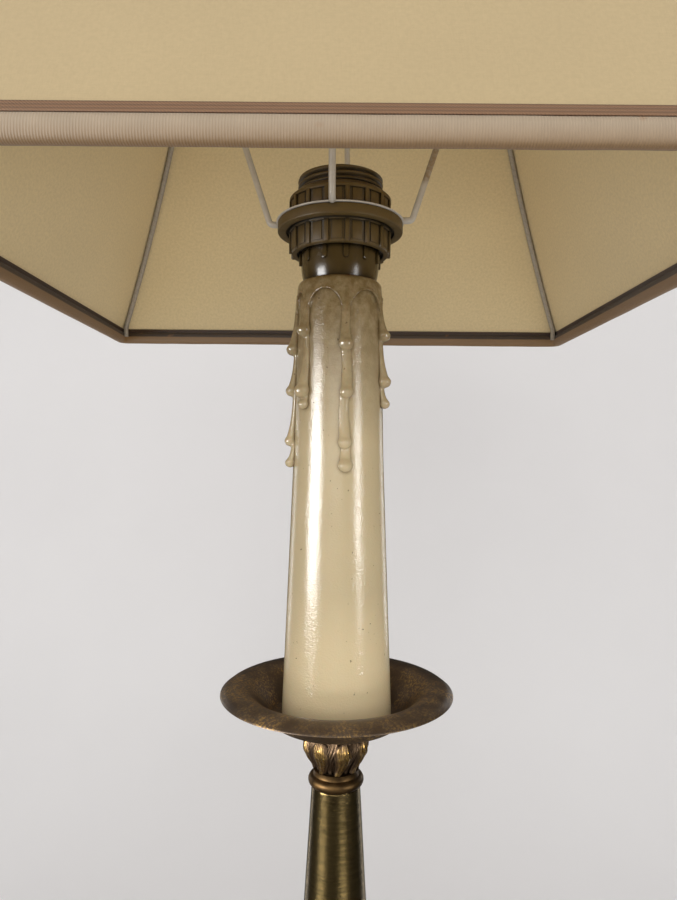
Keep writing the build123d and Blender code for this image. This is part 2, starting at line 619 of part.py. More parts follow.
with BuildPart() as holder_cap:
    with BuildSketch(Plane.XZ):
        with BuildLine():
            belly = (CAP_BELLY_RADIUS, CANDLE_TOP + CAP_BELLY_RISE)
            Polyline((STEM_RADIUS, CAP_FOOT), (CAP_FOOT_RADIUS, CAP_FOOT), (CAP_SEAT_RADIUS, CANDLE_TOP))
            ThreePointArc((CAP_SEAT_RADIUS, CANDLE_TOP), belly, (CAP_RIM_RADIUS, SHELL_FOOT))
            Polyline(
                (CAP_RIM_RADIUS, SHELL_FOOT),
                (SHELL_BORE, SHELL_FOOT),
                (SHELL_BORE, INSERT_FOOT),
                (CAP_BORE, INSERT_FOOT),
                (CAP_BORE, SHELL_FOOT - CAP_SKIRT),
                (CAP_SEAT_RADIUS - CAP_WALL, CANDLE_TOP),
                (CAP_FOOT_RADIUS - CAP_WALL, CAP_FOOT + CAP_WALL),
                (CAP_BOSS_RADIUS, CAP_FOOT + CAP_WALL),
                (CAP_BOSS_RADIUS, CAP_FOOT + CAP_BOSS_HEIGHT),
                (STEM_RADIUS, CAP_FOOT + CAP_BOSS_HEIGHT),
                (STEM_RADIUS, CAP_FOOT),
            )
        make_face()
    revolve(axis=Axis.Z)
    for turn in RIB_TURNS:
        with BuildSketch(facing(turn, SHELL_FOOT, CAP_RIM_RADIUS - CAP_WALL / 2)):
            straight = CAP_RIB_HEIGHT - CAP_RIB_WIDTH / 2
            Rectangle(CAP_RIB_WIDTH, straight, align=(Align.CENTER, Align.MAX))
            with Locations((0, -straight)):
                Circle(CAP_RIB_WIDTH / 2)
        extrude(amount=CAP_WALL / 2 + CAP_RIB_PROUD)
    # The locking screw's hole, through the boss to the stem
    with BuildSketch(facing(0, CAP_FOOT + CAP_BOSS_HEIGHT / 2)):
        Circle(LOCK_SCREW_RADIUS)
    extrude(amount=CAP_BOSS_RADIUS + LOCK_SCREW_PROUD, mode=Mode.SUBTRACT)
save(holder_cap, "holder_cap")

with BuildPart() as cap_grub_screw:
    with BuildSketch(facing(0, CAP_FOOT + CAP_BOSS_HEIGHT / 2, STEM_RADIUS)):
        Circle(LOCK_SCREW_RADIUS)
    extrude(amount=CAP_BOSS_RADIUS + LOCK_SCREW_PROUD - STEM_RADIUS)
save(cap_grub_screw, "cap_grub_screw")

with BuildPart() as holder_shell:
    with BuildSketch(Plane.XZ):
        with BuildLine():
            Polyline(
                (SHELL_BORE, SHELL_FOOT),
                (SHELL_RADIUS, SHELL_FOOT),
                (SHELL_RADIUS, SHELL_TOP),
                (SHELL_BORE - SHELL_LIP, SHELL_TOP),
                (SHELL_BORE - SHELL_LIP, SHELL_TOP - SHELL_LIP_THICK),
                (SHELL_BORE, SHELL_TOP - SHELL_LIP_THICK),
                close=True,
            )
        make_face()
    revolve(axis=Axis.Z)
save(holder_shell, "holder_shell")

SIDE_CONTACT_X = sqrt(SOCKET_POCKET_RADIUS**2 - CONTACT_WIDTH**2 / 4) - CONTACT_THICK / 2 - SLIP
SIDE_CONTACT_END = SOCKET_RADIUS + SCREW_SHELL_WALL / 2
with BuildPart() as holder_insert:
    with BuildSketch(Plane.XY.offset(INSERT_FOOT)):
        Circle(SHELL_BORE - SLIP)
    extrude(amount=INSERT_TOP - INSERT_FOOT)
    with BuildSketch(Plane.XY.offset(SOCKET_FLOOR)):
        Circle(SOCKET_POCKET_RADIUS)
    extrude(amount=SOCKET_POCKET_DEPTH, mode=Mode.SUBTRACT)
    with BuildSketch(Plane.XY.offset(SCREW_SHELL_FOOT)):
        Circle(SOCKET_RADIUS + SCREW_SHELL_WALL)
    extrude(amount=INSERT_TOP - SCREW_SHELL_FOOT, mode=Mode.SUBTRACT)
    # Notch in the ledge for the side contact's end
    with BuildSketch(Plane.XY.offset(SCREW_SHELL_FOOT)):
        with Locations((SIDE_CONTACT_X, 0)):
            Rectangle(
                SIDE_CONTACT_END - SIDE_CONTACT_X + CONTACT_SLOT_GAP,
                CONTACT_WIDTH + 2 * CONTACT_SLOT_GAP,
                align=(Align.MIN, Align.CENTER),
            )
    extrude(amount=-CONTACT_THICK - CONTACT_SLOT_GAP, mode=Mode.SUBTRACT)
    # Slots in its floor for the two contacts' legs
    with BuildSketch(Plane.XY.offset(INSERT_FOOT)):
        slot_gaps = 2 * CONTACT_SLOT_GAP
        with Locations((-TERMINAL_OFFSET, 0), (TERMINAL_OFFSET, 0)):
            Rectangle(CONTACT_THICK + slot_gaps, CONTACT_WIDTH + slot_gaps)
    extrude(amount=INSERT_FLOOR_THICK, mode=Mode.SUBTRACT)
save(holder_insert, "holder_insert")

with BuildPart() as screw_shell:
    with BuildSketch(Plane.XY.offset(SCREW_SHELL_FOOT)):
        Circle(SOCKET_RADIUS + SCREW_SHELL_WALL)
        Circle(SOCKET_RADIUS, mode=Mode.SUBTRACT)
    extrude(amount=SCREW_SHELL_HEIGHT)
save(screw_shell, "screw_shell")

# Bent strips that lie on the pocket's floor, with a leg down through it to a terminal. The side contact's end
# lies under the screw shell
CONTACT_LEVEL = SOCKET_FLOOR + CONTACT_THICK / 2
SIDE_CONTACT_TOP = SCREW_SHELL_FOOT - CONTACT_THICK / 2
for name, points in (
    (
        "centre_contact",
        (
            (-TERMINAL_OFFSET, INSERT_FOOT),
            (-TERMINAL_OFFSET, CONTACT_LEVEL),
            (-CONTACT_REACH, CONTACT_LEVEL),
            (0, CONTACT_LEVEL + CONTACT_RISE),
            (CONTACT_REACH, CONTACT_LEVEL + CONTACT_RISE - CONTACT_THICK),
        ),
    ),
    (
        "side_contact",
        (
            (TERMINAL_OFFSET, INSERT_FOOT),
            (TERMINAL_OFFSET, CONTACT_LEVEL),
            (SIDE_CONTACT_X, CONTACT_LEVEL),
            (SIDE_CONTACT_X, SIDE_CONTACT_TOP),
            (SIDE_CONTACT_END, SIDE_CONTACT_TOP),
        ),
    ),
):
    with BuildPart() as contact:
        with BuildSketch(Plane.XZ):
            with BuildLine():
                FilletPolyline(*points, radius=CONTACT_THICK)
            trace(line_width=CONTACT_THICK)
        extrude(amount=CONTACT_WIDTH / 2, both=True)
    save(contact, name)

# Two brass blocks under the insert, each drilled for a lead from below and for a screw from outside
LEAD_HOLE = LEAD_RADIUS + SLIP
with BuildPart() as terminals:
    with BuildSketch(Plane.XY.offset(TERMINAL_FOOT)):
        with Locations((-TERMINAL_OFFSET, 0), (TERMINAL_OFFSET, 0)):
            Rectangle(TERMINAL_SIZE, TERMINAL_SIZE)
    extrude(amount=TERMINAL_HEIGHT)
    with BuildSketch(Plane.XY.offset(TERMINAL_FOOT)):
        with Locations((-TERMINAL_OFFSET, 0), (TERMINAL_OFFSET, 0)):
            Circle(LEAD_HOLE)
    extrude(amount=TERMINAL_LEAD_DEPTH, mode=Mode.SUBTRACT)
    for turn in (0, 180):
        with BuildSketch(facing(turn, TERMINAL_FOOT + TERMINAL_LEAD_DEPTH / 2, TERMINAL_OFFSET)):
            Circle(TERMINAL_SCREW_RADIUS)
        extrude(amount=TERMINAL_SIZE, mode=Mode.SUBTRACT)
save(terminals, "terminals")

with BuildPart() as terminal_screws:
    for turn in (0, 180):
        level = TERMINAL_FOOT + TERMINAL_LEAD_DEPTH / 2
        face = TERMINAL_OFFSET + TERMINAL_SIZE / 2
        with BuildSketch(facing(turn, level, TERMINAL_OFFSET + LEAD_RADIUS)):
            Circle(TERMINAL_SCREW_RADIUS)
        extrude(amount=TERMINAL_SIZE / 2 - LEAD_RADIUS)
        with BuildSketch(facing(turn, level, face)):
            Circle(TERMINAL_HEAD_RADIUS)
        extrude(amount=TERMINAL_HEAD_THICK)
        with BuildSketch(facing(turn, level, face + TERMINAL_HEAD_THICK)):
            Rectangle(2 * TERMINAL_HEAD_RADIUS, TERMINAL_SLOT_WIDTH)
        extrude(amount=-TERMINAL_SLOT_DEPTH, mode=Mode.SUBTRACT)
save(terminal_screws, "terminal_screws")

# ------------------------------------------------------------------ inner leads and their connector
LEAD_LEVEL = FELT_TOP + LEAD_CLEARANCE + LEAD_RADIUS
CONNECTOR_REACH = FOOT_RADIUS - CONNECTOR_SETBACK
for name, side in (("live_lead", -1), ("neutral_lead", 1)):
    with BuildPart() as lead:
        with BuildLine():
            route = FilletPolyline(
                (side * TERMINAL_OFFSET, 0, TERMINAL_FOOT + TERMINAL_LEAD_DEPTH),
                (side * TERMINAL_OFFSET, 0, TERMINAL_FOOT - LEAD_TAIL),
                (side * LEAD_SPREAD, 0, STEM_TOP + LEAD_TAIL),
                (side * LEAD_SPREAD, 0, LEAD_LEVEL),
                (side * LEAD_SPREAD, LEAD_FAN, LEAD_LEVEL),
                (side * CONNECTOR_PITCH / 2, 2 * LEAD_FAN, LEAD_LEVEL),
                (side * CONNECTOR_PITCH / 2, CONNECTOR_REACH + CONNECTOR_HOLE_DEPTH, LEAD_LEVEL),
                radius=LEAD_BEND,
            )
        with BuildSketch(Plane(origin=route @ 0, z_dir=route % 0)):
            Circle(LEAD_RADIUS)
        sweep()
    save(lead, name)

with BuildPart() as connector_block:
    with BuildSketch(facing(90, FELT_TOP, CONNECTOR_REACH)):
        Rectangle(CONNECTOR_WIDTH, CONNECTOR_HEIGHT, align=(Align.CENTER, Align.MIN))
    extrude(amount=CONNECTOR_LENGTH)
    with BuildSketch(facing(90, LEAD_LEVEL, CONNECTOR_REACH)):
        with Locations((-CONNECTOR_PITCH / 2, 0), (CONNECTOR_PITCH / 2, 0)):
            Circle(LEAD_HOLE)
    extrude(amount=CONNECTOR_HOLE_DEPTH, mode=Mode.SUBTRACT)
save(connector_block, "connector_block")

# ------------------------------------------------------------------ ring nuts and seat disc
RING_OUTER = RING_RADIUS + RING_RIB_PROUD
for name, foot, height, chamfer_height in (
    ("lower_shade_ring", LOWER_RING_FOOT, LOWER_RING_HEIGHT, 0),
    ("upper_shade_ring", UPPER_RING_FOOT, UPPER_RING_HEIGHT, UPPER_RING_CHAMFER),
):
    wall_top = foot + height - chamfer_height
    rib_foot = foot + RING_RIB_MARGIN
    rib_height = wall_top - RING_RIB_MARGIN - rib_foot
    with BuildPart() as ring:
        with BuildSketch(Plane.XY.offset(foot)):
            Circle(RING_OUTER)
        extrude(amount=wall_top - foot)
        if chamfer_height:
            with BuildSketch(Plane.XZ):
                with BuildLine():
                    Polyline(
                        (0, wall_top),
                        (RING_OUTER, wall_top),
                        (RING_BORE + UPPER_RING_LIP, foot + height),
                        (0, foot + height),
                        close=True,
                    )
                make_face()
            revolve(axis=Axis.Z)
        with BuildSketch(Plane.XY.offset(rib_foot)):
            Circle(2 * RING_OUTER)
            Circle(RING_RADIUS, mode=Mode.SUBTRACT)
        extrude(amount=rib_height, mode=Mode.SUBTRACT)
        for rib in range(RING_RIBS):
            with BuildSketch(facing(RING_TURN + rib * 360 / RING_RIBS, rib_foot, RING_BORE)):
                Rectangle(RING_RIB_WIDTH, rib_height, align=(Align.CENTER, Align.MIN))
            extrude(amount=RING_OUTER - RING_BORE)
        with BuildSketch(Plane.XY.offset(foot)):
            Circle(RING_BORE)
        extrude(amount=height, mode=Mode.SUBTRACT)
    save(ring, name)

with BuildPart() as seat_disc:
    with BuildSketch(Plane.XZ):
        with BuildLine():
            Polyline(
                (RING_BORE, SEAT_FOOT),
                (SEAT_RADIUS - SEAT_RIM_WIDTH, SEAT_FOOT),
                (SEAT_RADIUS - SEAT_RIM_WIDTH, SEAT_FOOT - SEAT_RIM_DROP),
                (SEAT_RADIUS, SEAT_FOOT - SEAT_RIM_DROP),
                (SEAT_RADIUS, SEAT_TOP),
                (RING_BORE, SEAT_TOP),
                close=True,
            )
        make_face()
    revolve(axis=Axis.Z)
save(seat_disc, "seat_disc")

# ------------------------------------------------------------------ shade
SHADE_WAIST = (SHADE_FOOT + SHADE_TOP) / 2 - SHADE_DIP
SHADE_CURVE = ThreePointArc(
    (SHADE_FOOT, SHADE_Z), (SHADE_WAIST, SHADE_Z + SHADE_HEIGHT / 2), (SHADE_TOP, SHADE_Z_TOP)
)
WIRE_INSET = PANEL_THICK + GLUE_GAP + WIRE_RADIUS
FRAME_HALF = SHADE_FOOT + BINDING_PROUD - BINDING_THICK / 2
FRAME_LEVEL = (BINDING_FOOT + SHADE_Z) / 2
TOP_FRAME_LEVEL = TOP_BINDING_FOOT - WIRE_RADIUS
CARRIER_MIDDLE = CARRIER_FOOT + CARRIER_THICK / 2
WELD_REACH = WIRE_RADIUS - WELD_SINK  # frame wire's middle to the end of a wire welded to it


def shade_half(level, grow=0.0):
    """Half the shade's side at a level, its curved faces moved outwards by grow."""
    centre = SHADE_CURVE.arc_center
    return centre.X - sqrt((SHADE_CURVE.radius - grow) ** 2 - (level - centre.Y) ** 2)


TOP_FRAME_HALF = shade_half(TOP_FRAME_LEVEL, -WIRE_INSET)


def bell(low, high, grow=0.0):
    """The solid square bell between two levels, its four curved faces moved outwards by grow."""
    levels = (low, (low + high) / 2, high)
    with BuildPart() as body:
        for plane, mode in ((Plane.XZ, Mode.ADD), (Plane.YZ, Mode.INTERSECT)):
            with BuildSketch(plane):
                with BuildLine():
                    side = ThreePointArc(*((shade_half(level, grow), level) for level in levels))
                    Polyline(side @ 1, (0, high), (0, low), side @ 0)
                make_face()
                mirror(about=Plane.YZ)
            extrude(amount=shade_half(low, grow), both=True, mode=mode)
    return body.part


def bell_wall(low, high, inner, outer):
    """The bell's wall between two levels, from its faces moved by inner to the same moved by outer."""
    with BuildPart() as wall:
        add(bell(low, high, outer))
        add(bell(low - OVERCUT, high + OVERCUT, inner), mode=Mode.SUBTRACT)
    return wall.part


def wire_square(half, level, radius):
    """A wire bent to a square with round corners."""
    with BuildPart() as wire:
        with BuildLine(Plane.XY.offset(level)):
            corners = ((half, -half), (half, half), (-half, half), (-half, -half))
            route = FilletPolyline(*corners, radius=WIRE_CORNER_RADIUS, close=True)
        with BuildSketch(Plane(origin=route @ 0, z_dir=route % 0)):
            Circle(radius)
        sweep()
    return wire


def corner_rib(turn, radius):
    """A bent wire up one corner, from the bottom frame's corner to the top frame's."""
    cut = WIRE_CORNER_RADIUS * (sqrt(2) - 1)
    foot = FRAME_LEVEL + WELD_REACH
    top = TOP_FRAME_LEVEL - WELD_REACH
    middle = (foot + top) / 2
    with BuildPart() as wire:
        with BuildLine(upright(turn)):
            route = ThreePointArc(
                (sqrt(2) * FRAME_HALF - cut, foot),
                (sqrt(2) * shade_half(middle, -WIRE_INSET), middle),
                (sqrt(2) * TOP_FRAME_HALF - cut, top),
            )
        with BuildSketch(Plane(origin=route @ 0, z_dir=route % 0)):
            Circle(radius)
        sweep()
    return wire


def carrier_arm(turn):
    """A bent wire from the carrier ring out to the middle of one side of the top frame."""
    with BuildPart() as wire:
        with BuildLine(upright(turn, Vector(sin(radians(turn)), -cos(radians(turn))) * ARM_SIDESTEP)):
            route = FilletPolyline(
                (CARRIER_RADIUS - WELD_SINK, CARRIER_MIDDLE),
                (ARM_FOOT_REACH, CARRIER_MIDDLE),
                (TOP_FRAME_HALF, TOP_FRAME_LEVEL - WELD_REACH),
                radius=ARM_BEND_RADIUS,
            )
        with BuildSketch(Plane(origin=route @ 0, z_dir=route % 0)):
            Circle(WIRE_RADIUS)
        sweep()
    return wire


def binding_ring(half, foot, thick, height, round_radius):
    """A padded roll with a rounded section, round the four sides of the shade."""
    outer = half + thick / 2
    inner = half - thick / 2
    with BuildPart() as roll:
        with BuildSketch(Plane.XY.offset(foot)):
            RectangleRounded(2 * outer, 2 * outer, BINDING_CORNER)
            RectangleRounded(2 * inner, 2 * inner, BINDING_CORNER / 2, mode=Mode.SUBTRACT)
        extrude(amount=height)
        by_level = roll.faces().group_by(Axis.Z)
        fillet(by_level[0].edges() + by_level[-1].edges(), round_radius)
    return roll.part


save(wire_square(FRAME_HALF, FRAME_LEVEL, WIRE_RADIUS), "bottom_frame")
save(wire_square(TOP_FRAME_HALF, TOP_FRAME_LEVEL, WIRE_RADIUS), "top_frame")

with BuildPart() as carrier_ring:
    with BuildSketch(Plane.XY.offset(CARRIER_FOOT)):
        Circle(CARRIER_RADIUS)
        Circle(RING_BORE, mode=Mode.SUBTRACT)
    extrude(amount=CARRIER_THICK)
save(carrier_ring, "carrier_ring")

for name, turn in SIDES:
    save(carrier_arm(turn), f"carrier_arm_{name}")

for number, (turn, _, _) in enumerate(CORNERS, 1):
    save(corner_rib(turn, WIRE_RADIUS), f"corner_rib_{number}")

# Four curved panels, mitred along the corners with a gap between each two
panel_wall = bell_wall(SHADE_Z, SHADE_Z_TOP, -PANEL_THICK, 0)
for name, turn in SIDES:
    with BuildPart() as panel:
        add(panel_wall)
        with BuildSketch(Plane.XY.offset(SHADE_Z).rotated((0, 0, turn))):
            with BuildLine():
                far = SHADE_FOOT + GLUE_GAP
                Polyline((GLUE_GAP, 0), (far, SHADE_FOOT), (far, -SHADE_FOOT), close=True)
            make_face()
        extrude(amount=SHADE_HEIGHT, mode=Mode.INTERSECT)
    save(panel, f"panel_{name}")

# Both rolls are grooved for the panels' edges, and the bottom one is bored for the wires inside it
bottom_roll = binding_ring(FRAME_HALF, BINDING_FOOT, BINDING_THICK, BINDING_HEIGHT, BINDING_ROUND)
top_half = SHADE_TOP + BINDING_PROUD - TOP_BINDING_THICK / 2
top_roll = binding_ring(top_half, TOP_BINDING_FOOT, TOP_BINDING_THICK, TOP_BINDING_HEIGHT, TOP_BINDING_ROUND)
groove = bell_wall(SHADE_Z, SHADE_Z_TOP, -PANEL_THICK - GLUE_GAP, GLUE_GAP)
rib_bores = [corner_rib(turn, WIRE_RADIUS + SLIP).part for turn, _, _ in CORNERS]

with BuildPart() as bottom_binding:
    add(bottom_roll)
    add(wire_square(FRAME_HALF, FRAME_LEVEL, WIRE_RADIUS + SLIP).part, mode=Mode.SUBTRACT)
    add([groove] + rib_bores, mode=Mode.SUBTRACT)
save(bottom_binding, "bottom_binding")

with BuildPart() as top_binding:
    add(top_roll)
    add(groove, mode=Mode.SUBTRACT)
save(top_binding, "top_binding")

# Braids glued to the panels' outer faces: two square ones, and one folded over each corner
for name, low, high in (
    ("bottom_braid", BINDING_TOP, BRAID_TOP),
    ("top_braid", TOP_BRAID_FOOT, TOP_BINDING_FOOT),
):
    with BuildPart() as braid:
        add(bell_wall(low, high, 0, BRAID_THICK))
    save(braid, name)

corner_wall = bell_wall(BRAID_TOP, TOP_BRAID_FOOT, 0, BRAID_THICK)
BRAID_LEVELS = (BRAID_TOP, (BRAID_TOP + TOP_BRAID_FOOT) / 2, TOP_BRAID_FOOT)
for number, (_, x_side, y_side) in enumerate(CORNERS, 1):
    with BuildPart() as corner_braid:
        add(corner_wall)
        for plane, side in ((Plane.XZ, x_side), (Plane.YZ, y_side)):
            edge_points = [(side * (shade_half(level) - CORNER_BRAID_WIDTH), level) for level in BRAID_LEVELS]
            with BuildSketch(plane):
                with BuildLine():
                    edge = ThreePointArc(*edge_points)
                    outside = 2 * side * SHADE_FOOT
                    Polyline(edge @ 1, (outside, TOP_BRAID_FOOT), (outside, BRAID_TOP), edge @ 0)
                make_face()
            extrude(amount=2 * SHADE_FOOT, both=True, mode=Mode.INTERSECT)
    save(corner_braid, f"corner_braid_{number}")
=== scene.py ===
"""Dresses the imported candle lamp: turned brass and bronze, a resin candle, a lampholder and a cloth shade.

It is laid out as a Blender add-on and run as a script. Sizes are in millimetres in the tables below and in
metres in Blender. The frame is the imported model's: +Z up, -Y the front.
"""

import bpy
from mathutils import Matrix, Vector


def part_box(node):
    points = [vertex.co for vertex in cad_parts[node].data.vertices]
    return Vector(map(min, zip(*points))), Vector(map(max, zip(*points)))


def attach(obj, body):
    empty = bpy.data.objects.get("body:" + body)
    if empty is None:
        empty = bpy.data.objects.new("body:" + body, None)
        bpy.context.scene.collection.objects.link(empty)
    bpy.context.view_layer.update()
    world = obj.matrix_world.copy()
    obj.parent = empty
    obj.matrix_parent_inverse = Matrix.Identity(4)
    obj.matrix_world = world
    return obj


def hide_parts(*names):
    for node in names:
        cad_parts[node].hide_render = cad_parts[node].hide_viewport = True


bl_info = {
    "name": "Candle lamp",
    "version": (1, 0, 0),
    "blender": (4, 5, 0),
    "location": "View3D > Sidebar > Candle lamp",
    "description": "Builds a candle lamp with a square bell shade round its packed model",
    "category": "Object",
}

from contextlib import contextmanager
from math import atan2, ceil, copysign, cos, exp, hypot, pi, radians, sin, sqrt

import bmesh
import bpy
from bpy.props import FloatProperty, FloatVectorProperty, PointerProperty
from mathutils import Vector
from mathutils.noise import noise

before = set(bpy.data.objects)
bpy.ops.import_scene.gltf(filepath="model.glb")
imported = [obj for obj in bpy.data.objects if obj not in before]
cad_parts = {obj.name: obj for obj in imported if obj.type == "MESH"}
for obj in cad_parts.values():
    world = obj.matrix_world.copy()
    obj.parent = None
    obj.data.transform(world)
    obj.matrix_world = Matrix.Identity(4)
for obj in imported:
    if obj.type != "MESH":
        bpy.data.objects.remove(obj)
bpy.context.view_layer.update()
MM = 0.001


# ------------------------------------------------------------------ sizes shared by several pieces
def top_of(node):
    """Highest level of a CAD node, in millimetres."""
    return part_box(node)[1].z / MM


def foot_of(node):
    """Lowest level of a CAD node, in millimetres."""
    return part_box(node)[0].z / MM


COLUMN_FOOT = foot_of("column")
COLUMN_TOP = top_of("column")
KNOP_FOOT = foot_of("leaf_knop")
PAN_FOOT = top_of("leaf_knop")
PAN_FLOOR = foot_of("candle_sleeve")
CANDLE_TOP = top_of("candle_sleeve")
SHELL_FOOT = foot_of("holder_shell")
SHELL_TOP = top_of("holder_shell")
SHADE_FOOT = foot_of("panel_front")
SHADE_TOP = top_of("panel_front")

# Half the shade's side at its foot, at half height and at its top, all to the panels' outer faces
SHADE_HALVES = (150.0, 112.6, 87.5)
PANEL_THICK = 0.8
WIRE_RADIUS = 1.5
BORE = 5.1  # of the turned pieces, round the stem
RING_BORE = 19.95  # of the pieces that run on the lampholder's outer thread
THREAD_PITCH = 2.5
SOCKET_PITCH = 3.63

# Wax runs: turn about the axis from +X, and each bead's depth below the candle's top and radius
WAX_RUNS = (
    (-172.0, ((31.0, 3.2), (50.0, 3.0), (73.0, 2.9), (83.0, 2.6))),
    (-138.0, ((24.0, 3.2), (51.0, 3.6), (57.0, 2.6))),
    (-82.0, ((31.0, 3.3), (52.0, 3.1), (74.0, 3.1), (84.0, 3.2))),
    (-18.0, ((25.0, 3.2), (46.0, 3.2), (56.0, 2.6))),
    (34.0, ((38.0, 3.1), (64.0, 3.0), (80.0, 2.6))),
    (86.0, ((30.0, 3.2), (58.0, 3.2), (69.0, 2.8))),
    (138.0, ((34.0, 3.1), (46.0, 2.9), (76.0, 3.0))),
)
COAT_DEPTH = 5.0  # of the runs' heads below the candle's top
COAT_ROUND = 2.6  # rounding of the wax over the candle's edge
SIDES = (("front", 270), ("right", 0), ("back", 90), ("left", 180))
CORNERS = ((1, 45), (2, 135), (3, 225), (4, 315))


# ------------------------------------------------------------------ settings a user would change
def colour_setting(name, description, code):
    """A colour property whose default is an sRGB hex code."""
    return FloatVectorProperty(
        name=name, description=description, subtype="COLOR", size=3, min=0, max=1, default=linear(code)[:3]
    )


def linear(code):
    """An sRGB hex code as linear red, green, blue and alpha."""
    parts = (int(code[at : at + 2], 16) / 255 for at in (1, 3, 5))
    return tuple(p / 12.92 if p <= 0.04045 else ((p + 0.055) / 1.055) ** 2.4 for p in parts) + (1.0,)


def length_setting(name, description, default, low, high):
    """A length property, in metres."""
    return FloatProperty(
        name=name, description=description, unit="LENGTH", default=default, min=low, max=high
    )


class LAMP_PG_stand(bpy.types.PropertyGroup):
    """Finishes of the stand."""

    brass: colour_setting("Brass", "Brushed brass of the column and the foot", "#9a8456")
    bronze: colour_setting("Bronze", "Dark bronzed castings", "#604d3a")
    candle: colour_setting("Candle", "Cast resin of the candle", "#cdbb96")
    wax_thick: length_setting("Wax thickness", "Molten wax on the candle", 0.001, 0.0004, 0.002)


class LAMP_PG_holder(bpy.types.PropertyGroup):
    """Finish of the lampholder and its rings."""

    plastic: colour_setting("Plastic", "Moulded thermoplastic", "#614e29")
    thread_depth: length_setting("Thread depth", "Depth of the outer thread", 0.0012, 0.0002, 0.0012)


class LAMP_PG_shade(bpy.types.PropertyGroup):
    """Cloth and trims of the shade."""

    cloth: colour_setting("Cloth", "Cloth of the four panels", "#c0aa81")
    # The card lining's own colour, lightened as painted light to stand in for the light inside the shade
    lit_lining: colour_setting("Lining", "Inner face of the panels", "#e8d3a4")
    ribbon: colour_setting("Ribbon", "Ribbed ribbon round the edges", "#ad9980")
    braid: colour_setting("Braid", "Narrow twill braid", "#8c6645")
    slack: length_setting("Slack", "How far the cloth waves between its wires", 0.0002, 0.0, 0.0008)


class LAMP_PG_stage(bpy.types.PropertyGroup):
    """Floor, backdrop and lamps."""

    paper: colour_setting("Paper", "Floor and backdrop", "#f0eeee")
    window: FloatProperty(
        name="Window power", description="Power that the lamps share", subtype="POWER", default=13.0
    )


# ------------------------------------------------------------------ modelling helpers
def clear_selection():
    """Leaves edit mode and deselects everything."""
    if bpy.context.mode != "OBJECT":
        bpy.ops.object.mode_set(mode="OBJECT")
    bpy.ops.object.select_all(action="DESELECT")


def select_only(*pieces):
    """Selects these pieces alone, the first one active."""
    clear_selection()
    for piece in pieces:
        piece.select_set(True)
    bpy.context.view_layer.objects.active = pieces[0]


@contextmanager
def editing(piece):
    """Edit mode on one piece, all of it selected."""
    select_only(piece)
    bpy.ops.object.mode_set(mode="EDIT")
    bpy.ops.mesh.select_all(action="SELECT")
    yield
    bpy.ops.object.mode_set(mode="OBJECT")


def settle(piece):
    """Applies the selected piece's place, turn and scale to its mesh."""
    bpy.ops.object.transform_apply(location=True, rotation=True, scale=True)
    return piece


def close_mesh(piece):
    """Merges a piece's doubles, turns its faces outwards and applies its place."""
    with editing(piece):
        bpy.ops.mesh.remove_doubles(threshold=1e-6)
        bpy.ops.mesh.normals_make_consistent(inside=False)
    return settle(piece)


def face_towards(piece, direction):
    """Flips an open sheet whose faces look away from a direction."""
    if sum((side.normal for side in piece.data.polygons), Vector()).dot(direction) < 0:
        with editing(piece):
            bpy.ops.mesh.flip_normals()


def new_piece(name):
    """The object that an operator has just added, under its name."""
    piece = bpy.context.object
    piece.name = piece.data.name = name
    return piece


def heading(turn):
    """The level direction at a turn about the axis, in degrees from +X."""
    return Vector((cos(radians(turn)), sin(radians(turn)), 0))


def between(stations, at):
    """A value between stations, each of them a place and its value."""
    for (low, low_value), (high, high_value) in zip(stations, stations[1:]):
        if at <= high:
            break
    return low_value + (at - low) / (high - low) * (high_value - low_value)


def modify(piece, kind, **settings):
    """Adds one modifier with its settings and applies it."""
    select_only(piece)
    modifier = piece.modifiers.new(kind, kind)
    for field, value in settings.items():
        setattr(modifier, field, value)
    bpy.ops.object.modifier_apply(modifier=modifier.name)
    return piece


def soften(piece, width, segments=2, angle=30):
    """Rounds the edges that turn by more than an angle, as a mould or a turning tool leaves them."""
    return modify(
        piece, "BEVEL", width=width * MM, segments=segments, limit_method="ANGLE", angle_limit=radians(angle)
    )


def join(name, pieces):
    """Joins pieces into one mesh."""
    select_only(*pieces)
    bpy.ops.object.join()
    return new_piece(name)


def extrude(*step):
    """Draws what is selected out by a step in metres."""
    bpy.ops.mesh.extrude_region_move(TRANSFORM_OT_translate={"value": step})


def turned(name, outline, steps=96):
    """Draws an outline of (radius, height) points and spins it about the lamp's axis."""
    clear_selection()
    radius, height = outline[0]
    bpy.ops.mesh.primitive_plane_add(size=MM, location=(radius * MM, 0, height * MM))
    piece = new_piece(name)
    with editing(piece):
        bpy.ops.mesh.merge(type="CENTER")
        for next_radius, next_height in outline[1:]:
            extrude((next_radius - radius) * MM, 0, (next_height - height) * MM)
            radius, height = next_radius, next_height
        bpy.ops.mesh.select_all(action="SELECT")
        bpy.ops.mesh.spin(steps=steps, angle=2 * pi, center=(0, 0, 0), axis=(0, 0, 1))
    return close_mesh(piece)


def arc(radius, height, size, start, end, steps=10):
    """Points of an arc of a turned outline, its centre at a radius and height, its angles in degrees."""
    angles = (radians(start + (end - start) * step / steps) for step in range(steps + 1))
    return [(radius + size * cos(angle), height + size * sin(angle)) for angle in angles]


def smooth_line(points, steps=8):
    """A Catmull-Rom curve through the points of an outline."""
    ends = [points[0]] + list(points) + [points[-1]]
    line = []
    for before, start, end, after in zip(ends, ends[1:], ends[2:], ends[3:]):
        for step in range(steps):
            t = step / steps
            line.append(
                tuple(
                    b
                    + (c - a) / 2 * t
                    + (2 * a - 5 * b + 4 * c - d) / 2 * t**2
                    + (3 * b - a - 3 * c + d) / 2 * t**3
                    for a, b, c, d in zip(before, start, end, after)
                )
            )
    return line + [points[-1]]


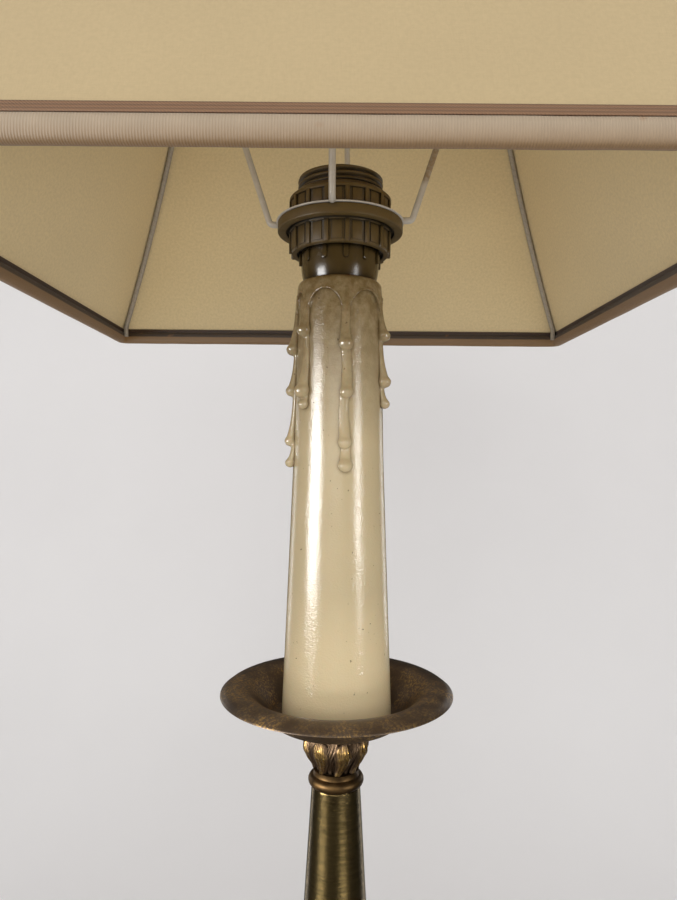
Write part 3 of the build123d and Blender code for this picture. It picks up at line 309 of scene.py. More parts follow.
def placed_grid(name, columns, rows, place):
    """A grid whose vertices are moved to where place(across, up) says, both from 0 to 1, in millimetres."""
    clear_selection()
    bpy.ops.mesh.primitive_grid_add(x_subdivisions=columns, y_subdivisions=rows, size=2)
    piece = new_piece(name)
    for vertex in piece.data.vertices:
        vertex.co = Vector(place((vertex.co.x + 1) / 2, (vertex.co.y + 1) / 2)) * MM
    return piece


def block(name, size, centre):
    """A box of a size round a centre, in millimetres."""
    clear_selection()
    bpy.ops.mesh.primitive_cube_add(size=1, location=Vector(centre) * MM, scale=Vector(size) * MM)
    return settle(new_piece(name))


def round_axis(name, piece, count, first=0.0):
    """Copies a piece evenly round the lamp's axis, the first copy turned by first degrees, and joins them."""
    copies = []
    for number in range(count):
        select_only(piece)
        bpy.ops.object.duplicate()
        copy = bpy.context.object
        copy.rotation_euler.z = radians(first + number * 360 / count)
        copies.append(settle(copy))
    bpy.data.objects.remove(piece)
    return join(name, copies)


def bent_wire(name, points, radius, bend, sides=12):
    """A round wire along points in millimetres, with a bend of a radius at each inner point."""
    line = [Vector(points[0])]
    for before, corner, after in zip(points, points[1:], points[2:]):
        corner = Vector(corner)
        back = (Vector(before) - corner).normalized()
        on = (Vector(after) - corner).normalized()
        reach = bend / max(0.05, sqrt((1 - back.dot(on)) / (1 + back.dot(on) + 1e-9)))
        reach = min(reach, 0.45 * (Vector(after) - corner).length, 0.45 * (Vector(before) - corner).length)
        start, end = corner + back * reach, corner + on * reach
        line += [start.lerp(corner, t).lerp(corner.lerp(end, t), t) for t in (step / 8 for step in range(9))]
    line.append(Vector(points[-1]))
    clear_selection()
    curve = bpy.data.curves.new(name, "CURVE")
    curve.dimensions = "3D"
    curve.bevel_depth = radius * MM
    curve.bevel_resolution = sides // 4
    curve.use_fill_caps = True
    spline = curve.splines.new("POLY")
    spline.points.add(len(line) - 1)
    for point, spot in zip(spline.points, line):
        point.co = (*(spot * MM), 1)
    wire = bpy.data.objects.new(name, curve)
    bpy.context.scene.collection.objects.link(wire)
    select_only(wire)
    bpy.ops.object.convert(target="MESH")
    return close_mesh(bpy.context.object)


def square_loop(name, section, half, corner, runs=24):
    """Carries a closed section of (outwards, up) points round a square and its rounded corners."""
    clear_selection()
    bpy.ops.mesh.primitive_circle_add(vertices=len(section), radius=MM)
    piece = new_piece(name)
    for vertex, (outwards, up) in zip(piece.data.vertices, section):
        vertex.co = Vector((0, -half - outwards, up)) * MM
    straight = (half - corner) * MM
    with editing(piece):
        for along, across in (((1, 0), (1, -1)), ((0, 1), (1, 1)), ((-1, 0), (-1, 1)), ((0, -1), (-1, -1))):
            # The section starts at the middle of the front side
            shares = runs // 2 if along == (1, 0) else runs
            length = straight if along == (1, 0) else 2 * straight
            for _ in range(shares):
                extrude(along[0] * length / shares, along[1] * length / shares, 0)
            centre = (across[0] * straight, across[1] * straight, 0)
            bpy.ops.mesh.spin(steps=6, angle=-pi / 2, center=centre, axis=(0, 0, 1))
        for _ in range(runs // 2):
            extrude(straight / (runs // 2), 0, 0)
    return close_mesh(piece)


def paint(piece, name, value_at):
    """Lays a value on each vertex, worked out from its place in millimetres."""
    layer = piece.data.attributes.new(name, "FLOAT", "POINT")
    for vertex, value in zip(piece.data.vertices, layer.data):
        value.value = value_at(vertex.co / MM)


def uv_layer(piece):
    """The piece's only UV layer."""
    return piece.data.uv_layers[0] if piece.data.uv_layers else piece.data.uv_layers.new(name="Along")


def lay_side_uv(piece):
    """Gives each face a UV in metres: along its side of the shade, and up."""
    layer = uv_layer(piece)
    vertices, loops = piece.data.vertices, piece.data.loops
    for face in piece.data.polygons:
        side_on = abs(face.center.x) > abs(face.center.y)
        for at in face.loop_indices:
            spot = vertices[loops[at].vertex_index].co
            layer.data[at].uv = (spot.y if side_on else spot.x, spot.z)
    return piece


def dress(piece, material, body, slot, *nodes, angle=35):
    """Finishes a piece: shading, material, the body it rides on and the nodes it replaces; its slot argument
    is not used.
    """
    select_only(piece)
    bpy.ops.object.shade_smooth_by_angle(angle=radians(angle))
    piece.data.materials.clear()
    piece.data.materials.append(material)
    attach(piece, body)
    if nodes:
        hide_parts(*nodes)
    return piece


def shade_half(level, grow=0.0):
    """Half the shade's side at a level on the arc through its three halves, moved outwards by grow."""
    foot, waist, top = SHADE_HALVES
    middle = (SHADE_FOOT + SHADE_TOP) / 2
    reach = (SHADE_TOP - SHADE_FOOT) / 2
    # Centre of the circle through (foot, low), (waist, middle) and (top, high)
    e, f = waist - foot, waist - top
    row_one = (2 * e, 2 * reach, waist**2 - foot**2 - reach**2)
    row_two = (2 * f, -2 * reach, waist**2 - top**2 - reach**2)
    share = row_one[0] * row_two[1] - row_one[1] * row_two[0]
    across = (row_one[2] * row_two[1] - row_one[1] * row_two[2]) / share
    up = (row_one[0] * row_two[2] - row_one[2] * row_two[0]) / share
    radius = hypot(waist - across, up)
    return across - sqrt((radius - grow) ** 2 - (level - middle - up) ** 2)


# ------------------------------------------------------------------ materials
def add_node(tree, kind, inputs=None, **settings):
    """Adds a node, sets its fields and fills or links its inputs."""
    node = tree.nodes.new(kind)
    for field, value in settings.items():
        setattr(node, field, value)
    for socket, value in (inputs or {}).items():
        if isinstance(value, bpy.types.NodeSocket):
            tree.links.new(value, node.inputs[socket])
        else:
            node.inputs[socket].default_value = value
    return node


class Finish:
    """One material under construction: its node tree, its shader and its coordinates."""

    def __init__(self, name, coordinates="Object", **constants):
        self.material = bpy.data.materials.new(name)
        self.material.use_nodes = True
        self.tree = self.material.node_tree
        self.shader = self.tree.nodes["Principled BSDF"]
        places = add_node(self.tree, "ShaderNodeTexCoord").outputs
        self.spot, self.place = places[coordinates], places["Object"]
        for socket, value in constants.items():
            self.shader.inputs[socket.replace("_", " ")].default_value = value

    def add(self, kind, inputs=None, **settings):
        """Adds a node to this material."""
        return add_node(self.tree, kind, inputs, **settings)

    def grain(self, millimetres, detail=2.0, stretch=(1, 1, 1), roughness=0.5):
        """Noise whose spots are about this many millimetres, stretched along the axes."""
        scaled = self.add("ShaderNodeMapping", {"Vector": self.spot, "Scale": stretch}).outputs[0]
        inputs = {"Vector": scaled, "Scale": 1 / (millimetres * MM), "Detail": detail, "Roughness": roughness}
        return self.add("ShaderNodeTexNoise", inputs).outputs["Fac"]

    def ramp(self, value, *stops):
        """Maps a value to greys, each stop a place and its grey."""
        node = self.add("ShaderNodeValToRGB", {"Fac": value})
        elements = node.color_ramp.elements
        while len(elements) < len(stops):
            elements.new(1.0)
        for element, (place, grey) in zip(elements, stops):
            element.position = place
            element.color = (grey, grey, grey, 1)
        return node.outputs["Color"]

    def mix(self, factor, first, second):
        """Mixes two colours, each of them a socket, a linear colour or an sRGB code."""
        first, second = (linear(part) if isinstance(part, str) else part for part in (first, second))
        return self.add("ShaderNodeMix", {0: factor, 6: first, 7: second}, data_type="RGBA").outputs[2]

    def maths(self, operation, *values):
        """One arithmetic step."""
        return self.add("ShaderNodeMath", dict(enumerate(values)), operation=operation).outputs[0]

    def times(self, *values):
        """The product of two values."""
        return self.maths("MULTIPLY", *values)

    def span(self, value, start, end, low=0.0, high=1.0):
        """Maps a value's stretch from start to end to one from low to high, held at its ends."""
        return self.add("ShaderNodeMapRange", {"Value": value, 1: start, 2: end, 3: low, 4: high}).outputs[0]

    def axes(self, vector):
        """The three parts of a vector."""
        return self.add("ShaderNodeSeparateXYZ", {"Vector": vector}).outputs

    def hollows(self, millimetres, start=0.85, end=0.25):
        """How deep in a crevice of this size a point lies, from 0 in the open to 1."""
        crevice = self.add("ShaderNodeAmbientOcclusion", {"Distance": millimetres * MM}, samples=6)
        return self.span(crevice.outputs["AO"], start, end)

    def painted(self, name):
        """A value laid on the vertices."""
        return self.add("ShaderNodeAttribute", attribute_name=name).outputs["Fac"]

    def colour(self, socket):
        """Links a colour to the shader."""
        self.tree.links.new(socket, self.shader.inputs["Base Color"])
        return self

    def rough(self, socket):
        """Links a roughness to the shader."""
        self.tree.links.new(socket, self.shader.inputs["Roughness"])
        return self

    def bump(self, height, millimetres):
        """Raises the surface by up to this many millimetres where height is 1."""
        node = self.add("ShaderNodeBump", {"Height": height, "Distance": millimetres * MM, "Strength": 1.0})
        previous = self.shader.inputs["Normal"].links
        if previous:
            self.tree.links.new(previous[0].from_socket, node.inputs["Normal"])
        self.tree.links.new(node.outputs[0], self.shader.inputs["Normal"])
        return self


def shaded(colour, factor):
    """A colour made darker or lighter."""
    return tuple(min(1.0, part * factor) for part in colour[:3]) + (1.0,)


def brushed_brass(tone):
    """Brass, brushed round on a lathe and lightly tarnished: streaks that run round, soft vertical glints."""
    finish = Finish("lathe_brushed_brass", Metallic=1.0)
    # Real brush marks are 0.1 mm apart; drawn 1.3 mm apart so that they show
    marks = finish.grain(1.3, 5.0, stretch=(0.1, 0.1, 1), roughness=0.7)
    marks = finish.ramp(marks, (0.34, 0.0), (0.66, 1.0))
    clouds = finish.grain(14.0, 4.0)
    stains = finish.ramp(finish.grain(3.0, 4.0, roughness=0.65), (0.6, 0.0), (0.7, 1.0))
    base = finish.mix(clouds, shaded(tone, 0.8), shaded(tone, 1.15))
    base = finish.mix(finish.times(marks, 0.75), base, shaded(tone, 0.42))
    finish.colour(finish.mix(finish.times(stains, 0.6), base, "#3b2c18"))
    finish.rough(finish.ramp(marks, (0.0, 0.16), (1.0, 0.26)))
    grit = finish.grain(1.6, 5.0, stretch=(1, 1, 2), roughness=0.7)
    return finish.bump(marks, 0.05).bump(grit, 0.09).material


def aged_bronze(tone):
    """Cast bronze, chemically browned and worn: dark matte brown with golden specks where it is rubbed."""
    finish = Finish("browned_cast_bronze", Metallic=0.45)
    clouds = finish.grain(16.0, 5.0)
    specks = finish.ramp(finish.grain(1.1, 4.0, roughness=0.7), (0.48, 0.0), (0.6, 1.0))
    worn = finish.times(specks, finish.ramp(clouds, (0.42, 0.05), (0.62, 0.8)))
    base = finish.mix(clouds, shaded(tone, 0.45), shaded(tone, 1.0))
    base = finish.mix(finish.hollows(4.0), base, shaded(tone, 0.25))
    upwards = finish.axes(finish.add("ShaderNodeNewGeometry").outputs["Normal"])[2]
    settled = finish.ramp(clouds, (0.35, 0.05), (0.6, 0.42))
    dust = finish.times(finish.ramp(upwards, (0.6, 0.0), (0.95, 1.0)), settled)
    base = finish.mix(dust, base, "#7d6f62")
    finish.colour(finish.mix(worn, base, "#b58f4e"))
    finish.rough(finish.ramp(clouds, (0.3, 0.36), (0.7, 0.5)))
    return finish.bump(finish.grain(0.9, 3.0), 0.05).bump(clouds, 0.2).material


def rubbed_bronze(tone):
    """The leaf casting: the same bronze, black in its hollows and rubbed to gold on what stands out."""
    finish = Finish("rubbed_bronze", Metallic=0.9)
    grain = finish.grain(1.0, 4.0)
    rubbed = finish.times(finish.painted("proud"), finish.ramp(grain, (0.36, 0.1), (0.66, 1.0)))
    base = finish.mix(grain, shaded(tone, 0.75), shaded(tone, 1.3))
    base = finish.mix(rubbed, base, "#c09a52")
    finish.colour(finish.mix(finish.hollows(2.2), base, shaded(tone, 0.12)))
    finish.rough(finish.ramp(rubbed, (0.1, 0.45), (0.9, 0.22)))
    return finish.bump(finish.grain(0.8, 3.0), 0.08).material


def cast_resin(tone):
    """Cast polyester resin with an orange-peel skin: cream, satin, a few specks, grime and painted shadow at
    the top, painted light lower down, painted shade in its crevices and at its foot.
    """
    finish = Finish("cast_resin", Subsurface_Weight=0.1, Subsurface_Scale=0.002, IOR=1.5)
    level = finish.axes(finish.place)[2]
    # Grime, with the painted shadow that the shade casts on the candle's top: darker towards the top
    height = finish.span(level, 0.455, 0.522)
    clouds = finish.grain(20.0, 4.0)
    grime_and_shadow = finish.times(height, finish.ramp(finish.grain(5.0, 5.0, roughness=0.65), (0.3, 0.6), (0.6, 1.0)))
    # Painted light: the candle is made lighter towards its foot, up to 1.4 times its tone
    low = finish.span(level, 0.39, 0.345)
    base = finish.mix(clouds, shaded(tone, 0.93), shaded(tone, 1.06))
    base = finish.mix(low, base, shaded(tone, 1.4))
    base = finish.mix(finish.times(grime_and_shadow, 0.95), base, "#745f39")
    # Painted shade darkening the candle's crevices, under and between the wax runs
    base = finish.mix(finish.times(finish.hollows(2.5), 0.85), base, "#6e5836")
    specks = finish.ramp(finish.grain(1.7, 2.0, roughness=0.4), (0.735, 0.0), (0.77, 0.75))
    # Painted shade: the bottom few millimetres, where the candle stands in the pan's well, are darkened
    foot = finish.span(level, 0.337, 0.330, 0.0, 0.2)
    base = finish.mix(foot, base, "#a08a60")
    finish.colour(finish.mix(specks, base, "#5d4a30"))
    finish.rough(finish.ramp(finish.grain(3.0, 3.0), (0.3, 0.12), (0.7, 0.2)))
    return finish.bump(finish.grain(0.7, 1.0), 0.12).bump(finish.grain(6.0, 2.0), 0.12).material


def moulded_plastic(name, tone, roughness=0.45, wear=0.2):
    """Injection-moulded thermoplastic: an even colour, a fine spark-eroded grain, specks of dust, and painted
    shade that darkens its corners and gaps.
    """
    finish = Finish(name, IOR=1.5, Specular_IOR_Level=0.3)
    clouds = finish.grain(6.0, 4.0)
    dust = finish.ramp(finish.grain(1.1, 4.0, roughness=0.7), (0.58, 0.0), (0.8, wear))
    base = finish.mix(clouds, shaded(tone, 0.85), shaded(tone, 1.15))
    base = finish.mix(dust, base, shaded(tone, 1.8))
    # Painted shade: crevices and the gaps between the rings, the disc and the cap are darkened almost to
    # black
    finish.colour(finish.mix(finish.hollows(3.0, 0.9, 0.4), base, shaded(tone, 0.05)))
    finish.rough(finish.ramp(clouds, (0.3, roughness - 0.05), (0.7, roughness + 0.08)))
    return finish.bump(finish.grain(0.6, 2.0), 0.02).material


def panel_cloth(name, tone, fleck=0.22):
    """Fine plain-woven cloth laminated to card: matte and warm, flecked by its uneven threads."""
    finish = Finish(name, "UV", Sheen_Weight=0.08, Sheen_Roughness=0.5, Roughness=0.86, IOR=1.4)
    # Threads are 0.25 mm apart; drawn 0.6 mm apart so that they show
    weft = finish.grain(0.6, 2.0, stretch=(0.12, 1, 1))
    warp = finish.grain(0.6, 2.0, stretch=(1, 0.12, 1))
    flecks = finish.ramp(finish.grain(1.5, 4.0, roughness=0.7), (0.38, 0.0), (0.62, 1.0))
    clouds = finish.grain(45.0, 4.0)
    base = finish.mix(clouds, shaded(tone, 0.94), shaded(tone, 1.05))
    base = finish.mix(finish.times(flecks, fleck), base, shaded(tone, 0.72))
    weave = finish.maths("ADD", weft, warp)
    base = finish.mix(finish.times(weave, 0.1), base, shaded(tone, 0.66))
    finish.colour(base)
    return finish.bump(weave, 0.05).material


def ribbed_ribbon(tone):
    """Grosgrain ribbon, old and faded: fine ribs across, darker below and inside with browning and painted
    shade, a few stains.
    """
    finish = Finish("grosgrain_ribbon", "UV", Roughness=0.72, Sheen_Weight=0.1, Sheen_Roughness=0.4)
    along = finish.axes(finish.spot)[0]
    ribs = finish.maths("SINE", finish.times(along, 2 * pi / (0.75 * MM)))
    height = finish.maths("MULTIPLY_ADD", ribs, 0.5, 0.5)
    clouds = finish.grain(9.0, 4.0)
    base = finish.mix(clouds, shaded(tone, 0.85), shaded(tone, 1.1))
    # Painted shade with some browning: the ribbon is darker on its lower side and darkest on its inner side
    shade_and_browning = finish.painted("shade_and_browning")
    base = finish.mix(finish.ramp(shade_and_browning, (0.0, 0.0), (0.5, 1.0)), base, "#896940")
    base = finish.mix(finish.ramp(shade_and_browning, (0.62, 0.0), (0.78, 1.0)), base, "#3c2b19")
    base = finish.mix(finish.times(finish.maths("SUBTRACT", 1.0, height), 0.13), base, shaded(tone, 0.4))
    stains = finish.ramp(finish.grain(11.0, 2.0), (0.7, 0.0), (0.76, 0.4))
    finish.colour(finish.mix(stains, base, "#9a6a3c"))
    return finish.bump(height, 0.09).material


def twill_braid(name, tone):
    """Narrow twill tape: three cords along its length, each with slanting stitches."""
    finish = Finish(name, "UV", Roughness=0.75, Sheen_Weight=0.1, Sheen_Roughness=0.4)
    split = finish.axes(finish.spot)
    slant = finish.maths("ADD", split[0], finish.times(split[1], 1.2))
    stitches = finish.maths("SINE", finish.times(slant, 2 * pi / (0.9 * MM)))
    cords = finish.maths("SINE", finish.times(split[1], 2 * pi / (1.17 * MM)))
    height = finish.maths("MULTIPLY_ADD", finish.maths("ADD", stitches, cords), 0.25, 0.5)
    base = finish.mix(height, shaded(tone, 0.45), shaded(tone, 1.25))
    finish.colour(finish.mix(finish.times(finish.grain(12.0), 0.4), base, shaded(tone, 0.7)))
    return finish.bump(height, 0.12).material


def wound_tape(tone):
    """Cotton tape wound round a wire: slanting turns 3 mm apart, greyed by dust."""
    finish = Finish("wound_tape", Roughness=0.85)
    split = finish.axes(finish.spot)
    slant = finish.maths("ADD", split[2], finish.times(split[0], 0.5))
    turns = finish.maths("FRACT", finish.times(slant, 1 / (3.0 * MM)))
    edge = finish.ramp(turns, (0.0, 0.6), (0.15, 1.0), (0.9, 1.0), (1.0, 0.6))
    base = finish.mix(finish.grain(4.0, 4.0), shaded(tone, 0.85), shaded(tone, 1.1))
    finish.colour(finish.mix(edge, shaded(tone, 0.6), base))
    return finish.bump(edge, 0.06).material


def wire_enamel(name, stained):
    """White stove enamel on steel wire, yellowed; on one wire it is brown with rust but for one band."""
    finish = Finish(name, Roughness=0.42, IOR=1.5)
    base = finish.mix(finish.grain(4.0, 4.0), "#b3aa9b", "#cfc8bb")
    if stained:
        split = finish.axes(finish.spot)
        level = finish.span(split[2], 0.570, 0.620)
        stops = (0.1, 0.0), (0.16, 0.85), (0.42, 0.8), (0.45, 0.0), (0.53, 0.0), (0.57, 0.8)
        bands = finish.ramp(level, *stops)
        spots = finish.times(bands, finish.ramp(finish.grain(1.5, 3.0), (0.3, 0.5), (0.6, 1.0)))
        base = finish.mix(spots, base, "#8a6f48")
    finish.colour(base)
    return finish.bump(finish.grain(1.2, 2.0), 0.05).material


def plain_metal(name, code, roughness, marks=0.4):
    """A machined or plated metal part: fine tool marks and a cloudy shine."""
    finish = Finish(name, Metallic=1.0)
    clouds = finish.grain(5.0, 4.0)
    lines = finish.grain(marks, 2.0, stretch=(0.1, 0.1, 1))
    finish.colour(finish.mix(clouds, shaded(linear(code), 0.75), linear(code)))
    finish.rough(finish.ramp(lines, (0.3, roughness - 0.06), (0.7, roughness + 0.08)))
    return finish.bump(lines, 0.01).material


def painted_casting():
    """Sand-cast iron under black paint: coarse grit and small pits."""
    finish = Finish("painted_casting", Roughness=0.6)
    grit = finish.grain(1.2, 5.0, roughness=0.7)
    finish.colour(finish.mix(grit, "#1d1d1c", "#3a3836"))
    return finish.bump(grit, 0.3).material


def pressed_felt():
    """Pressed wool felt: dark green, matted fibres and a soft sheen."""
    finish = Finish("pressed_felt", Roughness=0.95, Sheen_Weight=0.3, Sheen_Roughness=0.6)
    fibres = finish.grain(0.7, 5.0, roughness=0.75)
    finish.colour(finish.mix(fibres, "#1d2a20", "#3d4d3c"))
    return finish.bump(fibres, 0.2).material


def moulded_rubber():
    """Black moulded rubber with a greyish bloom."""
    finish = Finish("moulded_rubber", Roughness=0.7)
    bloom = finish.grain(3.0, 4.0)
    finish.colour(finish.mix(bloom, "#151515", "#2b2a29"))
    return finish.bump(finish.grain(0.5), 0.03).material


# ------------------------------------------------------------------ pieces of the stand
def candle_radius(level):
    """Outer radius of the bare candle at a level."""
    stations = ((0, 25.3), (74, 22.5), (120, 20.8), (160, 20.0), (185, 19.2), (200, 18.4))
    return between(stations, level - PAN_FLOOR)


class LAMP_OT_foot(bpy.types.Operator):
    """Turns the dished foot, its beaded gallery and the column's collar."""

    bl_idname = "lamp.foot"
    bl_label = "Foot"

    def execute(self, context):
        settings = context.scene.lamp_stand
        brass = brushed_brass(settings.brass)
        bronze = aged_bronze(settings.bronze)
        radius, sheet, floor, crown, sweep, bend = 97.0, 1.4, 15.0, 40.0, 52.0, 16.0
        inside, under, spring = radius - sheet, crown - sheet, floor + bend
        outer = (
            [(inside, 2.0), (radius, 2.0), (radius, 7.5)]
            + arc(radius, 10.5, 3.0, -90, 90)
            + [(radius, 13.5), (95.5, floor), (sweep, floor)]
            + arc(sweep, spring, bend, -90, -180)
            + [(36.0, 36.0), (33.0, 37.4), (33.0, crown), (BORE, crown)]
        )
        inner = (
            [(BORE, under), (31.6, under), (31.6, 36.8), (34.6, 35.4), (34.6, spring)]
            + arc(sweep, spring, bend + sheet, -180, -90)
            + [(95.0, floor - sheet), (inside, 13.0), (inside, 2.0)]
        )
        dish = soften(turned("foot_dish", outer + inner, 128), 0.4)
        dress(dish, brass, "stand", "brushed_brass", "base_dish")
        near, far, top = 91.9, 93.5, 26.0
        band = [(near, floor), (far, floor), (far, top), (near, top), (near, floor)]
        gallery = soften(turned("foot_gallery", band, 128), 0.3)
        clear_selection()
        spot = ((near + far) / 2 * MM, 0, top * MM)
        bpy.ops.mesh.primitive_uv_sphere_add(segments=10, ring_count=6, radius=1.75 * MM, location=spot)
        pearls = round_axis("pearls", settle(bpy.context.object), 150)
        gallery = join("foot_gallery", [gallery, pearls])
        dress(gallery, brass, "stand", "brushed_brass", "base_gallery")
        side, neck, shoulder, top = 27.3, 24.1, 49.0, 55.0
        collar = (
            [(BORE, crown), (side, crown)]
            + arc(side, 43.3, 3.0, -90, 90)
            + [(side, 46.6), (side, shoulder), (neck, shoulder), (neck, top), (BORE, top), (BORE, crown)]
        )
        dress(soften(turned("column_collar", collar), 0.25), bronze, "stand", "aged_bronze", "column_foot")
        return {"FINISHED"}


class LAMP_OT_column(bpy.types.Operator):
    """Turns the tapered column and the ring on its neck."""

    bl_idname = "lamp.column"
    bl_label = "Column and neck ring"

    def execute(self, context):
        settings = context.scene.lamp_stand
        foot, top, tube = 25.9, 11.2, 1.3
        outline = [(foot - tube, COLUMN_FOOT), (foot, COLUMN_FOOT)]
        outline += [(top, COLUMN_TOP), (top - tube, COLUMN_TOP)]
        column = soften(turned("tapered_column", outline + outline[:1], 160), 0.2)
        dress(column, bpy.data.materials["lathe_brushed_brass"], "stand", "brushed_brass", "column", angle=20)
        ring = (
            [(BORE, COLUMN_TOP - 6), (9.8, COLUMN_TOP - 6), (9.8, COLUMN_TOP), (10.6, COLUMN_TOP)]
            + arc(10.2, COLUMN_TOP + 2.7, 2.6, -80, 80, 16)
            + [(10.4, COLUMN_TOP + 5.6), (10.6, KNOP_FOOT), (BORE, KNOP_FOOT), (BORE, COLUMN_TOP - 6)]
        )
        ring = turned("neck_ring", ring)
        dress(ring, aged_ring(settings.bronze), "stand", "aged_bronze", "neck_bead", angle=50)
        return {"FINISHED"}


def aged_ring(tone):
    """The ring's bronze, polished by hands: darker, with a brassy shine."""
    finish = Finish("polished_bronze", Metallic=1.0)
    clouds = finish.grain(4.0, 4.0)
    finish.colour(finish.mix(clouds, shaded(tone, 0.3), "#6f5533"))
    finish.rough(finish.ramp(clouds, (0.3, 0.42), (0.7, 0.55)))
    return finish.bump(finish.grain(0.8), 0.03).material


def knop_radius(level):
    """Radius of the leaf knop's crowns at a level: narrow foot, full belly, slightly drawn-in top."""
    stations = ((0.0, 10.8), (0.12, 11.4), (0.3, 13.4), (0.48, 14.9), (0.66, 15.2), (0.85, 14.9), (1.0, 14.4))
    return between(stations, min(1.0, max(0.0, (level - KNOP_FOOT) / (PAN_FOOT - KNOP_FOOT))))


class LAMP_OT_knop(bpy.types.Operator):
    """Models one leaning leaf, copies it round a core, and sets a second row between the first."""

    bl_idname = "lamp.knop"
    bl_label = "Leaf knop"

    def execute(self, context):
        height = PAN_FOOT - KNOP_FOOT

        def leaf(name, half_width, inset, lean, rise, sway):
            """A flame-shaped leaf that sways as it rises, ridged along its length, its tip rolled inwards."""

            def place(across, up):
                side = 2 * across - 1
                tip = max(0.0, (up - 0.72) / 0.28)
                width = half_width * (0.5 + 0.5 * sin(pi * min(0.5, 0.06 + up * 0.62))) * sqrt(1.02 - tip**3)
                turn = radians(side * width + lean * up + sway * sin(up * 5.2))
                level = KNOP_FOOT + height * rise * (up - 0.16 * side**2 * up**2 * (1 - 0.5 * tip))
                radius = knop_radius(level) - inset - 1.1 * side**2 - 0.8 * side**8
                veins = 0.24 * cos(side * 5 * pi) * min(1.0, up * 3)
                swell = 0.45 * exp(-(((up - 0.6) / 0.16) ** 2))
                radius += veins + swell - 1.5 * tip**2
                radius += 0.5 * noise(Vector((side * 1.6, up * 4, inset + 5)))
                return (radius * cos(turn), radius * sin(turn), level)

            piece = placed_grid(name, 28, 28, place)
            modify(piece, "SOLIDIFY", thickness=1.0 * MM, offset=-1.0)
            close_mesh(piece)
            return modify(piece, "SUBSURF", levels=1, render_levels=1)

        count = 8
        front_row = round_axis("front_leaves", leaf("front_leaf", 19.5, 0.1, 16.0, 0.9, 5.0), count, 4)
        back_row = round_axis("back_leaves", leaf("back_leaf", 15.0, 1.3, 10.0, 0.98, -4.0), count, 28.5)
        levels = [KNOP_FOOT + height * step / 12 for step in range(13)]
        outline = [(BORE, KNOP_FOOT)] + [(knop_radius(level) - 2.3, level) for level in levels]
        core = turned("knop_core", outline + [(BORE, PAN_FOOT), (BORE, KNOP_FOOT)], 64)
        knop = join("leaf_knop_casting", [core, front_row, back_row])

        def proud(spot):
            """How far a spot stands out of the knop's ground, in millimetres up to one."""
            return min(1.0, max(0.0, hypot(spot.x, spot.y) - knop_radius(spot.z) + 0.7))

        paint(knop, "proud", proud)
        bronze = rubbed_bronze(context.scene.lamp_stand.bronze)
        dress(knop, bronze, "stand", "aged_bronze", "leaf_knop", angle=60)
        return {"FINISHED"}


class LAMP_OT_pan(bpy.types.Operator):
    """Turns the drip pan from one sheet, with a boss under it."""

    bl_idname = "lamp.pan"
    bl_label = "Drip pan"

    def execute(self, context):
        floor, under, foot, boss = 330.0, 328.4, 325.0, 16.0
        well = [(24.0, floor), (29.0, 330.1), (30.6, 331.0), (33.9, 336.9)]
        upper = [(34.6, 337.6), (36.4, 339.6), (39.9, 343.0), (45.0, 344.8), (49.8, 344.2), (52.4, 342.6)]
        rim = [(53.2, 342.0), (53.25, 341.6), (52.8, 341.4)]
        lower = [(51.6, 341.9), (49.2, 342.8), (45.0, 343.3), (40.6, 341.4), (35.6, 336.3), (32.4, 331.6)]
        lower += [(28.6, 328.6), (24.0, under)]
        outline = [(BORE, floor), *well, *smooth_line(upper), *rim, *smooth_line(lower)]
        outline += [(boss, under), (boss, foot), (BORE, foot), (BORE, floor)]
        pan = turned("drip_pan_casting", outline, 144)
        dress(pan, bpy.data.materials["browned_cast_bronze"], "stand", "aged_bronze", "drip_pan", angle=50)
        return {"FINISHED"}


